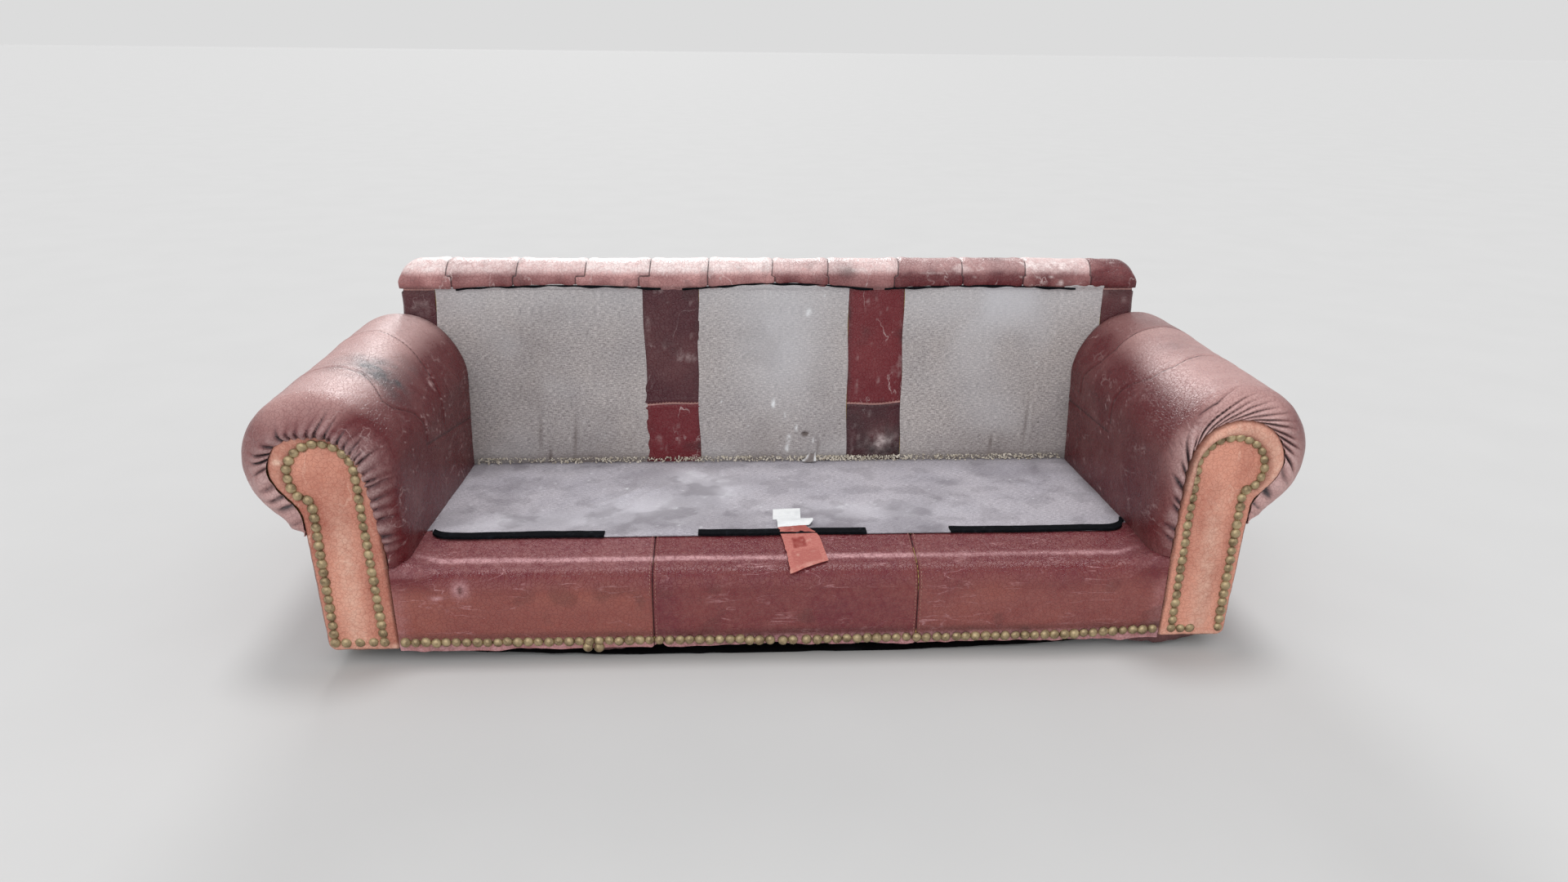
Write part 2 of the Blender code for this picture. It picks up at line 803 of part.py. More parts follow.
box("front_rail", (-side_rail_inner + gap, post_rear_y + gap, rail_bottom),
    (side_rail_inner - gap, post_rear_y + gap + board, rail_height), hardwood)
box("rear_seat_rail", (-side_rail_inner + gap, rear_rail_y, rail_bottom),
    (side_rail_inner - gap, rear_rail_y + board, rail_height), hardwood)
back_rail_rear = outside_y(rail_height) - cover - gap
box("back_rail", (-post_inner + gap, back_rail_rear - board, rail_bottom),
    (post_inner - gap, back_rail_rear, rail_height), hardwood)
box("top_rail", (-post_inner + gap, top_rail_y, canvas_top - 0.060),
    (post_inner - gap, top_rail_y + board, canvas_top), hardwood)

for side_name, side in sides:
    low_x, high_x = sorted((side * side_rail_inner, side * side_rail_x))
    box("side_rail_" + side_name, (low_x, post_rear_y + gap, rail_bottom),
        (high_x, rear_rail_y + board, rail_height + side_rail_rise), hardwood)
    arm_rail_x = back_post_x - arm_rail_inset
    low_x, high_x = sorted((side * (arm_rail_x - arm_rail_width), side * arm_rail_x))
    arm_rail_top = arm_floor - 0.0005
    arm_rail_low = arm_rail_top - arm_rail_depth
    post_reach = rear_rail_y + board + gap
    post_lean = (post_front_top - post_reach) / (top_roll_tail_z - 0.002 - rail_bottom)
    arm_rail_end = post_reach + post_lean * (arm_rail_low - rail_bottom) - gap
    box("arm_rail_" + side_name, (low_x, post_rear_y + gap, arm_rail_low),
        (high_x, arm_rail_end, arm_rail_top), hardwood)
    make_scroll_board("scroll_board_" + side_name, side)
    make_back_post("back_post_" + side_name, side)
    make_upright("back_upright_" + side_name, side * strap_offset)
    make_arm_pad("arm_pad_" + side_name, side)
    make_arm_cover("arm_cover_" + side_name, side)
    make_facing("facing_" + side_name, side)
    make_outside_arm("outside_arm_" + side_name, side)
    make_back_end("back_end_" + side_name, side)
    foot_x = side * foot_offset
    for place, foot_y in (("front", front_y + foot_setback + foot_radius),
                          ("rear", rear_rail_y + board - foot_radius - foot_clearance)):
        make_foot("foot_" + place + "_" + side_name, foot_x, foot_y)

for number in range(spring_count):
    pitch = 2 * (wall_x - spring_margin) / (spring_count - 1)
    make_spring("seat_spring_" + str(number + 1), pitch * (number - (spring_count - 1) / 2))

make_rail_pad("rail_pad")
half_seam = gap / 2
make_rail_cover("rail_cover_left", None, -rail_seam - half_seam)
make_rail_cover("rail_cover_middle", -rail_seam + half_seam, rail_seam - half_seam)
make_rail_cover("rail_cover_right", rail_seam + half_seam, None)

make_deck_pad()
make_deck_canvas()
for place, tape_start, tape_end in tape_spans:
    make_hook_tape("hook_tape_" + place, wall_x * tape_start, wall_x * tape_end)

strap_in = strap_offset - strap_width / 2
strap_out = strap_offset + strap_width / 2
make_back_sheet("back_canvas_left", -canvas_reach, -strap_out - gap, canvas)
make_back_sheet("back_strap_left", -strap_out, -strap_in, red_leather)
make_back_sheet("back_canvas_middle", -strap_in + gap, strap_in - gap, canvas)
make_back_sheet("back_strap_right", strap_in, strap_out, red_leather)
make_back_sheet("back_canvas_right", strap_out + gap, canvas_reach, canvas)
make_back_pad()
make_top_roll_pad()
make_top_roll_cover()
make_outside_back()
make_dust_cover()
make_label_white()
make_label_flap()
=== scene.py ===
import math

import bmesh
import bpy
import numpy as np
from mathutils import Matrix, Vector


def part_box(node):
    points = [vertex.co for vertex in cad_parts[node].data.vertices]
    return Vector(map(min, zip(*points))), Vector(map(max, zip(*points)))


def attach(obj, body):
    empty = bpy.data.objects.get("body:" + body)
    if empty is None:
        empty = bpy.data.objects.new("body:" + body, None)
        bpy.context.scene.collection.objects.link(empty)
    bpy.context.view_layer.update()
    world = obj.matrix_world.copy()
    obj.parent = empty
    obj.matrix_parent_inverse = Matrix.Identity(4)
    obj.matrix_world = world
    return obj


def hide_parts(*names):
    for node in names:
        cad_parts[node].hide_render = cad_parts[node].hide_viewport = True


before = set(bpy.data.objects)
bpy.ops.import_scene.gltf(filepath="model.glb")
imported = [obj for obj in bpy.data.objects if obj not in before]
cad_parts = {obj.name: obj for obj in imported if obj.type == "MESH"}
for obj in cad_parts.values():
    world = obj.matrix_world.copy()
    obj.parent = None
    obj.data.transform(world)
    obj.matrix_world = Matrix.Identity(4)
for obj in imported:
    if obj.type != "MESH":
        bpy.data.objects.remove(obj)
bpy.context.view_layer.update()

print("frame:", len(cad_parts), "CAD nodes")

# The CAD's own sizes, in metres, which the covers below are drawn from.
sofa = {
    "frontY": -0.421, "backY": 0.424, "groundGap": 0.030,
    "rollX": 0.952, "rollZ": 0.444, "rollR": 0.148, "wallX": 0.790, "panelX": 0.960, "backX": 0.948,
    "nose": 0.060, "junctionY": 0.229, "junctionZ": 0.193, "rake": 0.1087, "lean": 0.0217,
    "headX": 0.934, "headZ": 0.437, "headR": 0.100, "neckZ": 0.335,
    "deckFrontZ": 0.2245, "deckFrontY": -0.291, "railR": 0.045, "railTopZ": 0.2045, "railSeam": 0.283,
    "reach": 0.860, "strapAt": 0.266, "strapWidth": 0.145, "canvasTop": 0.660,
    "crestZ": 0.719, "topR": 0.050, "lip": 0.0165, "tail": 0.078,
}


# Small tools.

def linear(code):
    parts = [int(code[i:i + 2], 16) / 255 for i in (1, 3, 5)]
    return [c / 12.92 if c <= 0.04045 else ((c + 0.055) / 1.055) ** 2.4 for c in parts] + [1.0]


def smooth(low, high, value):
    t = np.clip((value - low) / (high - low), 0.0, 1.0)
    return t * t * (3 - 2 * t)


def hill(value, centre, width):
    return np.exp(-((value - centre) / width) ** 2)


def cells(points, seed):
    # one octave of value noise, -1 to 1
    base = np.floor(points)
    part = points - base
    part = part * part * (3 - 2 * part)
    total = np.zeros(points.shape[:-1])
    for corner in range(8):
        offset = np.array([corner & 1, corner >> 1 & 1, corner >> 2 & 1])
        value = np.sin((base + offset) @ np.array([127.1, 311.7, 74.7]) + seed * 19.19) * 43758.5453
        weight = np.prod(np.where(offset == 1, part, 1 - part), axis=-1)
        total += (value - np.floor(value)) * weight
    return total * 2 - 1


def rough(points, size, seed, octaves=3):
    # lumps of about that size in metres
    points = points / size + 57.3
    return sum(cells(points * 2.03 ** k, seed + k * 7) * 0.5 ** k for k in range(octaves))


def blot(points, centre, radius):
    # soft spot of 1 round a place; radius may differ along each axis
    away = (points - np.array(centre)) / np.array(radius)
    return np.exp(-(away ** 2).sum(-1))


def outward(points, inside):
    normal = np.cross(np.gradient(points, axis=1), np.gradient(points, axis=0))
    normal /= np.maximum(np.linalg.norm(normal, axis=-1, keepdims=True), 1e-9)
    side = (normal * (points - np.array(inside))).sum()
    return normal if side > 0 else -normal


def makeSurface(name, points, inside, material, marks=None, hem=0.004, sharp=50):
    # a grid of points to a mesh with its edges turned in, a UV map in metres and its marks as attributes
    normals = outward(points, inside)
    flip = (np.cross(np.gradient(points, axis=1), np.gradient(points, axis=0)) * normals).sum() < 0
    marks = dict(marks or {})
    if hem:
        rim = np.pad(points - normals * hem, ((1, 1), (1, 1), (0, 0)), mode="edge")
        points = np.pad(points, ((1, 1), (1, 1), (0, 0)), mode="edge")
        edge = np.ones(points.shape[:2], bool)
        edge[1:-1, 1:-1] = False
        points[edge] = rim[edge]
        marks = {key: np.pad(value, 1, mode="edge") for key, value in marks.items()}
    rows, columns = points.shape[:2]
    index = np.arange(rows * columns).reshape(rows, columns)
    quads = np.stack([index[:-1, :-1], index[:-1, 1:], index[1:, 1:], index[1:, :-1]], axis=-1).reshape(-1,
        4)
    if flip:
        quads = quads[:, ::-1]
    mesh = bpy.data.meshes.new(name)
    mesh.from_pydata(points.reshape(-1, 3).tolist(), [], quads.tolist())
    across = np.linalg.norm(np.diff(points, axis=1), axis=-1)[rows // 2]
    along = np.linalg.norm(np.diff(points, axis=0), axis=-1)[:, columns // 2]
    u, v = np.meshgrid(np.concatenate([[0], np.cumsum(across)]), np.concatenate([[0], np.cumsum(along)]))
    corner = np.zeros(len(mesh.loops), np.int32)
    mesh.loops.foreach_get("vertex_index", corner)
    layer = mesh.uv_layers.new(name="cut")
    layer.uv.foreach_set("vector",
        np.stack([u, v], axis=-1).reshape(-1, 2)[corner].astype(np.float32).ravel())
    for key in ("fade", "rub", "grime", "seam"):
        value = marks.get(key, np.full((rows, columns), 0.05 if key == "seam" else 0.0))
        mesh.attributes.new(key, "FLOAT", "POINT").data.foreach_set("value",
            value.astype(np.float32).ravel())
    mesh.shade_smooth()
    mesh.set_sharp_from_angle(angle=math.radians(sharp))
    mesh.materials.append(material)
    made = bpy.data.objects.new(name, mesh)
    bpy.context.scene.collection.objects.link(made)
    return made


def finishPiece(piece, slotName, *nodes):
    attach(piece, "root")
    if nodes:
        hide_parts(*nodes)
    return piece


def addNode(tree, kind, settings=None, links=None):
    node = tree.nodes.new(kind)
    for key, value in (settings or {}).items():
        if key == "ramp":
            stops = node.color_ramp.elements
            while len(stops) > 1:
                stops.remove(stops[-1])
            for number, (place, code) in enumerate(value):
                stop = stops[0] if number == 0 else stops.new(place)
                stop.position = place
                stop.color = linear(code)
        elif isinstance(key, int) or key in node.inputs:
            node.inputs[key].default_value = linear(value) if isinstance(value,
                str) and value.startswith("#") else value
        else:
            setattr(node, key, value)
    for key, source in (links or {}).items():
        tree.links.new(source, node.inputs[key])
    return node


def rangeOf(low, high, start, end):
    # settings of a Map Range node: low to high becomes start to end
    return {"From Min": low, "From Max": high, "To Min": start, "To Max": end}


def newMaterial(name):
    material = bpy.data.materials.new(name)
    material.use_nodes = True
    tree = material.node_tree
    return material, tree, tree.nodes["Principled BSDF"]


# Materials.

def upholsteryLeather(name, look):
    # Aniline-dyed cowhide: the dye wears off high places and the grain opens into fine pale cracks,
    # so the eye gets a mottled colour, a broken satin gloss and creases at a hand's width.
    material, tree, shader = newMaterial(name)
    place = addNode(tree, "ShaderNodeTexCoord").outputs["Object"]
    mark = {key: addNode(tree, "ShaderNodeAttribute", {"attribute_name": key}).outputs["Fac"]
            for key in ("fade", "rub", "grime", "seam")}
    blotch = addNode(tree, "ShaderNodeTexNoise", {"Scale": 11.0, "Detail": 5.0, "Roughness": 0.62},
        {"Vector": place}).outputs["Fac"]
    mottle = addNode(tree, "ShaderNodeTexNoise", {"Scale": 75.0, "Detail": 6.0, "Roughness": 0.72},
        {"Vector": place}).outputs["Fac"]
    speck = addNode(tree, "ShaderNodeTexNoise", {"Scale": 420.0, "Detail": 3.0, "Roughness": 0.6},
        {"Vector": place}).outputs["Fac"]
    blotchShift = addNode(tree, "ShaderNodeMath",
        {"operation": "MULTIPLY_ADD", 1: look["blotch"], 2: -0.5 * look["blotch"]}, {0: blotch}).outputs[0]
    faded = addNode(tree, "ShaderNodeMath", {"operation": "ADD", "use_clamp": True},
        {0: mark["fade"], 1: blotchShift}).outputs[0]
    colour = addNode(tree, "ShaderNodeMix", {"data_type": "RGBA", 6: look["deep"], 7: look["faded"]},
        {0: faded}).outputs[2]
    mottleMask = addNode(tree, "ShaderNodeMapRange", rangeOf(0.35, 0.70, 0.0, look["mottle"]),
        {"Value": mottle}).outputs[0]
    colour = addNode(tree, "ShaderNodeMix", {"data_type": "RGBA", 7: look["worn"]},
        {0: mottleMask, 6: colour}).outputs[2]
    speckMask = addNode(tree, "ShaderNodeMapRange", rangeOf(0.52, 0.72, 0.0, 0.42),
        {"Value": speck}).outputs[0]
    colour = addNode(tree, "ShaderNodeMix", {"data_type": "RGBA", 7: look["deep"]},
        {0: speckMask, 6: colour}).outputs[2]
    # the rub mark holds real wear, and on the arms, the rail's nosing and the top roll also painted
    # highlights
    rubAndHighlightBreak = addNode(tree, "ShaderNodeMapRange", rangeOf(0.30, 0.62, 0.35, 1.15),
        {"Value": mottle}).outputs[0]
    rubAndHighlightMask = addNode(tree, "ShaderNodeMath", {"operation": "MULTIPLY", "use_clamp": True},
        {0: mark["rub"], 1: rubAndHighlightBreak}).outputs[0]
    colour = addNode(tree, "ShaderNodeMix", {"data_type": "RGBA", 7: look["rubbed"]},
        {0: rubAndHighlightMask, 6: colour}).outputs[2]
    # creases: pale lines where the finish has cracked, in patches
    lay = addNode(tree, "ShaderNodeMapping",
        {"Rotation": look["creaseTurn"], "Scale": look["creaseScale"]}, {"Vector": place}).outputs[0]
    line = addNode(tree, "ShaderNodeTexNoise",
        {"Scale": 1.0, "Detail": 4.0, "Roughness": 0.55, "Distortion": 0.4}, {"Vector": lay}).outputs["Fac"]
    line = addNode(tree, "ShaderNodeMath", {"operation": "SUBTRACT", 1: 0.5}, {0: line}).outputs[0]
    line = addNode(tree, "ShaderNodeMath", {"operation": "ABSOLUTE"}, {0: line}).outputs[0]
    line = addNode(tree, "ShaderNodeMapRange", rangeOf(0.0, 0.012, 1.0, 0.0), {"Value": line}).outputs[0]
    cover = addNode(tree, "ShaderNodeTexNoise", {"Scale": 16.0, "Detail": 3.0, "Roughness": 0.6},
        {"Vector": place}).outputs["Fac"]
    cover = addNode(tree, "ShaderNodeMapRange", rangeOf(0.46, 0.66, 0.0, look["crease"]),
        {"Value": cover}).outputs[0]
    line = addNode(tree, "ShaderNodeMath", {"operation": "MULTIPLY"}, {0: line, 1: cover}).outputs[0]
    colour = addNode(tree, "ShaderNodeMix", {"data_type": "RGBA", 7: look["rubbed"]},
        {0: line, 6: colour}).outputs[2]
    # cell cracks of old finish, about 9 mm across
    warp = addNode(tree, "ShaderNodeMix", {"data_type": "VECTOR", 0: 0.02},
        {4: place, 5: addNode(tree, "ShaderNodeTexNoise", {"Scale": 30.0},
            {"Vector": place}).outputs["Color"]}).outputs[1]
    cell = addNode(tree, "ShaderNodeTexVoronoi", {"feature": "DISTANCE_TO_EDGE", "Scale": 110.0},
        {"Vector": warp}).outputs["Distance"]
    cell = addNode(tree, "ShaderNodeMapRange", rangeOf(0.0, 0.09, 1.0, 0.0), {"Value": cell}).outputs[0]
    cellMask = addNode(tree, "ShaderNodeMath", {"operation": "MULTIPLY", 1: 0.22}, {0: cell}).outputs[0]
    colour = addNode(tree, "ShaderNodeMix", {"data_type": "RGBA", 7: look["deep"]},
        {0: cellMask, 6: colour}).outputs[2]
    # the grime mark holds real dirt, and in the arms' fold valleys and under the top roll's lip also
    # painted shade
    grimeAndShadeBreak = addNode(tree, "ShaderNodeMapRange", rangeOf(0.30, 0.65, 0.4, 1.2),
        {"Value": blotch}).outputs[0]
    grimeAndShadeMask = addNode(tree, "ShaderNodeMath", {"operation": "MULTIPLY", "use_clamp": True},
        {0: mark["grime"], 1: grimeAndShadeBreak}).outputs[0]
    colour = addNode(tree, "ShaderNodeMix", {"data_type": "RGBA", 7: look["grime"]},
        {0: grimeAndShadeMask, 6: colour}).outputs[2]
    seamAway = addNode(tree, "ShaderNodeMath", {"operation": "ABSOLUTE"}, {0: mark["seam"]}).outputs[0]
    seamLine = addNode(tree, "ShaderNodeMapRange", rangeOf(0.0006, 0.0026, 0.85, 0.0),
        {"Value": seamAway}).outputs[0]
    colour = addNode(tree, "ShaderNodeMix", {"data_type": "RGBA", 7: look["seam"]},
        {0: seamLine, 6: colour}).outputs[2]
    tree.links.new(colour, shader.inputs["Base Color"])
    gloss = addNode(tree, "ShaderNodeMapRange",
        rangeOf(0.3, 0.7, look["rough"] - 0.07, look["rough"] + 0.10), {"Value": mottle}).outputs[0]
    dull = addNode(tree, "ShaderNodeMath",
        {"operation": "MULTIPLY_ADD", 1: look["dull"], "use_clamp": True}, {0: faded, 2: gloss}).outputs[0]
    tree.links.new(dull, shader.inputs["Roughness"])
    shader.inputs["Specular IOR Level"].default_value = look["specular"]
    grain = addNode(tree, "ShaderNodeTexVoronoi", {"Scale": 520.0}, {"Vector": place}).outputs["Distance"]
    bump = addNode(tree, "ShaderNodeBump", {"Strength": 0.35, "Distance": 0.0007}, {"Height": grain})
    bump = addNode(tree, "ShaderNodeBump", {"Strength": 0.5, "Distance": 0.0012, "invert": True},
        {"Height": cell, "Normal": bump.outputs[0]})
    bump = addNode(tree, "ShaderNodeBump", {"Strength": 0.5, "Distance": 0.003},
        {"Height": mottle, "Normal": bump.outputs[0]})
    tree.links.new(bump.outputs[0], shader.inputs["Normal"])
    return material


# rubbed is the pale tone of worn leather; through the rub mark it also colours the painted highlights
leatherLooks = {
    "facing": {"deep": "#94402f", "faded": "#e29c85", "worn": "#e0a895", "rubbed": "#efc7b2",
        "grime": "#5a3c34", "seam": "#3a1a1c",
               "blotch": 1.15, "mottle": 0.40, "rough": 0.42, "dull": 0.10, "specular": 0.40,
               "crease": 0.55,
               "creaseTurn": (0.3, 0.2, 0.5), "creaseScale": (9.0, 9.0, 5.0)},
    "arm": {"deep": "#5c0d17", "faded": "#c99f9b", "worn": "#8e5450", "rubbed": "#e2c6c4",
        "grime": "#4a4246", "seam": "#3a181c",
            "blotch": 0.42, "mottle": 0.20, "rough": 0.26, "dull": 0.16, "specular": 0.35, "crease": 0.34,
            "creaseTurn": (0.5, 0.3, 0.2), "creaseScale": (14.0, 6.0, 14.0)},
    "rail": {"deep": "#661324", "faded": "#9a5446", "worn": "#8c5648", "rubbed": "#cf9ca0",
        "grime": "#33201f", "seam": "#2c1014",
             "blotch": 0.70, "mottle": 0.34, "rough": 0.20, "dull": 0.38, "specular": 0.45, "crease": 0.55,
             "creaseTurn": (0.1, 0.2, 0.1), "creaseScale": (5.0, 12.0, 22.0)},
    "back": {"deep": "#5c1a22", "faded": "#dba6a3", "worn": "#96504f", "rubbed": "#fae8e6",
        "grime": "#2a2022", "seam": "#281014",
             "blotch": 0.55, "mottle": 0.34, "rough": 0.24, "dull": 0.14, "specular": 0.44, "crease": 0.5,
             "creaseTurn": (0.2, 0.5, 0.1), "creaseScale": (12.0, 9.0, 8.0)},
}
facingLeather = upholsteryLeather("tan cowhide, waxed and rubbed", leatherLooks["facing"])
armLeather = upholsteryLeather("oxblood cowhide, faded on top", leatherLooks["arm"])
railLeather = upholsteryLeather("red-brown cowhide, polished nosing", leatherLooks["rail"])
backLeather = upholsteryLeather("oxblood cowhide, patched", leatherLooks["back"])


def cottonCanvas(name, look):
    # Plain-woven cotton ticking, soiled. Real threads are 1 mm apart; slubs are drawn 2.5 mm high and
    # 11 mm long, so that the weave still shows at arm's length.
    material, tree, shader = newMaterial(name)
    place = addNode(tree, "ShaderNodeTexCoord").outputs["UV"]
    solid = addNode(tree, "ShaderNodeTexCoord").outputs["Object"]
    mark = {key: addNode(tree, "ShaderNodeAttribute", {"attribute_name": key}).outputs["Fac"]
        for key in ("fade", "grime", "rub")}
    weftLay = addNode(tree, "ShaderNodeMapping", {"Scale": (95.0, 430.0, 1.0)},
        {"Vector": place}).outputs[0]
    weft = addNode(tree, "ShaderNodeTexNoise", {"Scale": 1.0, "Detail": 3.0, "Roughness": 0.65},
        {"Vector": weftLay}).outputs["Fac"]
    warpLay = addNode(tree, "ShaderNodeMapping", {"Scale": (520.0, 150.0, 1.0)},
        {"Vector": place}).outputs[0]
    warpThread = addNode(tree, "ShaderNodeTexNoise", {"Scale": 1.0, "Detail": 2.0, "Roughness": 0.6},
        {"Vector": warpLay}).outputs["Fac"]
    cloud = addNode(tree, "ShaderNodeTexNoise", {"Scale": 5.5, "Detail": 6.0, "Roughness": 0.66},
        {"Vector": solid}).outputs["Fac"]
    weave = addNode(tree, "ShaderNodeMix", {"data_type": "FLOAT", 0: 0.35},
        {2: weft, 3: warpThread}).outputs[0]
    tone = addNode(tree, "ShaderNodeValToRGB",
        {"ramp": [(0.34, look["dark"]), (0.50, look["middle"]), (0.66, look["light"])]},
        {0: weave}).outputs[0]
    cloudMask = addNode(tree, "ShaderNodeMapRange", rangeOf(0.36, 0.66, 0.0, 0.38),
        {"Value": cloud}).outputs[0]
    colour = addNode(tree, "ShaderNodeMix",
        {"data_type": "RGBA", "blend_type": "MULTIPLY", 7: look["cool"]},
        {0: cloudMask, 6: tone}).outputs[2]
    colour = addNode(tree, "ShaderNodeMix", {"data_type": "RGBA", 7: look["pale"]},
        {0: mark["fade"], 6: colour}).outputs[2]
    colour = addNode(tree, "ShaderNodeMix", {"data_type": "RGBA", 7: look["soil"]},
        {0: mark["grime"], 6: colour}).outputs[2]
    chalkLay = addNode(tree, "ShaderNodeTexNoise", {"Scale": 30.0, "Detail": 5.0, "Roughness": 0.7},
        {"Vector": solid}).outputs["Fac"]
    chalkBreak = addNode(tree, "ShaderNodeMapRange", rangeOf(0.40, 0.62, 0.0, 1.2),
        {"Value": chalkLay}).outputs[0]
    chalk = addNode(tree, "ShaderNodeMath", {"operation": "MULTIPLY", "use_clamp": True},
        {0: mark["rub"], 1: chalkBreak}).outputs[0]
    colour = addNode(tree, "ShaderNodeMix", {"data_type": "RGBA", 7: look["chalk"]},
        {0: chalk, 6: colour}).outputs[2]
    tree.links.new(colour, shader.inputs["Base Color"])
    shader.inputs["Roughness"].default_value = 0.92
    shader.inputs["Sheen Weight"].default_value = look["sheen"]
    shader.inputs["Specular IOR Level"].default_value = look["specular"]
    bump = addNode(tree, "ShaderNodeBump", {"Strength": 0.6, "Distance": 0.0012}, {"Height": weave})
    tree.links.new(bump.outputs[0], shader.inputs["Normal"])
    return material


canvasLooks = {
    "seat": {"dark": "#8c888f", "middle": "#bbb6be", "light": "#e0dce2", "cool": "#c0c2cc",
        "pale": "#dcdae2", "soil": "#6a646c", "chalk": "#eceef2", "sheen": 0.15, "specular": 0.4},
    "panel": {"dark": "#7c7675", "middle": "#b3acaa", "light": "#e3dcd9", "cool": "#cacdd6",
        "pale": "#d2d3d8", "soil": "#706663", "chalk": "#f0f2f4", "sheen": 0.15, "specular": 0.4},
    "tape": {"dark": "#08090b", "middle": "#0f1115", "light": "#191c22", "cool": "#b0b4c0",
        "pale": "#262a31", "soil": "#060708", "chalk": "#6a7078", "sheen": 0.0, "specular": 0.08},
    # near black: the dust cloth, also standing in for the shadow gap under the rail
    "dust": {"dark": "#08080a", "middle": "#0e0e10", "light": "#18181b", "cool": "#c0c0c8",
        "pale": "#2a2a2e", "soil": "#050506", "chalk": "#3a3a40", "sheen": 0.0, "specular": 0.08},
    "whiteLabel": {"dark": "#e8ecee", "middle": "#f3f5f6", "light": "#fbfcfc", "cool": "#f4f5f8",
        "pale": "#fafbfb", "soil": "#b0b6ba", "chalk": "#ffffff", "sheen": 0.0, "specular": 0.4},
    "salmonLabel": {"dark": "#b4605a", "middle": "#c47a72", "light": "#d08c80", "cool": "#e0c4c0",
        "pale": "#d49a8c", "soil": "#8c3430", "chalk": "#e8bcae", "sheen": 0.0, "specular": 0.4},
}
seatCanvas = cottonCanvas("cotton canvas, woven and soiled", canvasLooks["seat"])
panelCanvas = cottonCanvas("cotton canvas, woven, sun-bleached", canvasLooks["panel"])
hookTape = cottonCanvas("nylon hook tape, woven", canvasLooks["tape"])
dustClothAndShadow = cottonCanvas("cambric dust cloth, woven", canvasLooks["dust"])
whiteLabelCloth = cottonCanvas("white label cloth, coated", canvasLooks["whiteLabel"])
salmonLabelCloth = cottonCanvas("salmon label cloth, torn", canvasLooks["salmonLabel"])


def plainFinish(name, look):
    # A hidden or hard part: colour drifts between two tones over the stated grain size in metres.
    material, tree, shader = newMaterial(name)
    place = addNode(tree, "ShaderNodeTexCoord").outputs["Object"]
    lay = addNode(tree, "ShaderNodeMapping", {"Scale": look["scale"]}, {"Vector": place}).outputs[0]
    grain = addNode(tree, "ShaderNodeTexNoise",
        {"Scale": 1.0, "Detail": 5.0, "Roughness": 0.6, "Distortion": look["swirl"]},
        {"Vector": lay}).outputs["Fac"]
    tone = addNode(tree, "ShaderNodeValToRGB", {"ramp": [(0.32, look["dark"]), (0.66, look["light"])]},
        {0: grain}).outputs[0]
    tree.links.new(tone, shader.inputs["Base Color"])
    gloss = addNode(tree, "ShaderNodeMapRange",
        rangeOf(0.3, 0.7, look["rough"] - 0.08, look["rough"] + 0.08), {"Value": grain}).outputs[0]
    tree.links.new(gloss, shader.inputs["Roughness"])
    shader.inputs["Metallic"].default_value = look["metal"]
    bump = addNode(tree, "ShaderNodeBump", {"Strength": 0.4, "Distance": look["relief"]}, {"Height": grain})
    tree.links.new(bump.outputs[0], shader.inputs["Normal"])
    return material


plainLooks = {
    "beech": {"dark": "#6f4b2e", "light": "#b58a5c", "scale": (8.0, 60.0, 60.0), "swirl": 0.6,
        "rough": 0.75, "metal": 0.0, "relief": 0.0006},
    "foam": {"dark": "#b08a3c", "light": "#d8bd78", "scale": (300.0, 300.0, 300.0), "swirl": 0.0,
        "rough": 0.95, "metal": 0.0, "relief": 0.0010},
    "wire": {"dark": "#4a4a4d", "light": "#85858a", "scale": (90.0, 90.0, 90.0), "swirl": 0.2,
        "rough": 0.42, "metal": 1.0, "relief": 0.0002},
    "glide": {"dark": "#101011", "light": "#1f1f21", "scale": (160.0, 160.0, 160.0), "swirl": 0.0,
        "rough": 0.55, "metal": 0.0, "relief": 0.0002},
    "brass": {"dark": "#77634a", "light": "#bca883", "scale": (60.0, 60.0, 60.0), "swirl": 0.3,
        "rough": 0.29, "metal": 0.55, "relief": 0.0001},
    "thread": {"dark": "#8f5c52", "light": "#d0a092", "scale": (700.0, 700.0, 700.0), "swirl": 0.0,
        "rough": 0.7, "metal": 0.0, "relief": 0.0001},
    "crumb": {"dark": "#8c7f6c", "light": "#f0e9dc", "scale": (120.0, 120.0, 120.0), "swirl": 0.0,
        "rough": 0.9, "metal": 0.0, "relief": 0.0004},
}
finishes = {key: plainFinish(name, plainLooks[key]) for key, name in (
    ("beech", "beech, sawn and dry"), ("foam", "polyurethane foam, yellowed"),
    ("wire", "spring steel, drawn"),
    ("glide", "polypropylene, moulded"), ("brass", "brass nailheads, antiqued"),
    ("thread", "polyester thread, twisted"),
    ("crumb", "crumbs and chaff"))}
print("materials made")


# Profiles shared with the CAD.

def arcPath(centre, radii, start, end, count):
    angle = np.radians(np.linspace(start, end, count))
    radii = np.broadcast_to(np.array(radii, float), (2,))
    return np.stack([centre[0] + radii[0] * np.cos(angle), centre[1] + radii[1] * np.sin(angle)], axis=-1)


def bezierPath(controls, count):
    t = np.linspace(0, 1, count)[:, None]
    level = [np.array(c, float)[None, :] for c in controls]
    while len(level) > 1:
        level = [a + (b - a) * t for a, b in zip(level, level[1:])]
    return level[0]


def linePath(start, end, count):
    return np.array(start, float) + (np.array(end, float) - np.array(start, float)) * np.linspace(0, 1,
        count)[:, None]


def joinPaths(paths):
    return np.concatenate([paths[0]] + [path[1:] for path in paths[1:]])


def leftOf(path, distance):
    run = np.gradient(path, axis=0)
    run /= np.maximum(np.linalg.norm(run, axis=-1, keepdims=True), 1e-9)
    return path + np.stack([-run[:, 1], run[:, 0]], axis=-1) * distance


def canvasY(z):
    return sofa["junctionY"] + sofa["rake"] * (z - sofa["junctionZ"])


def outsideY(z):
    return sofa["backY"] - sofa["lean"] * (z - sofa["groundGap"])


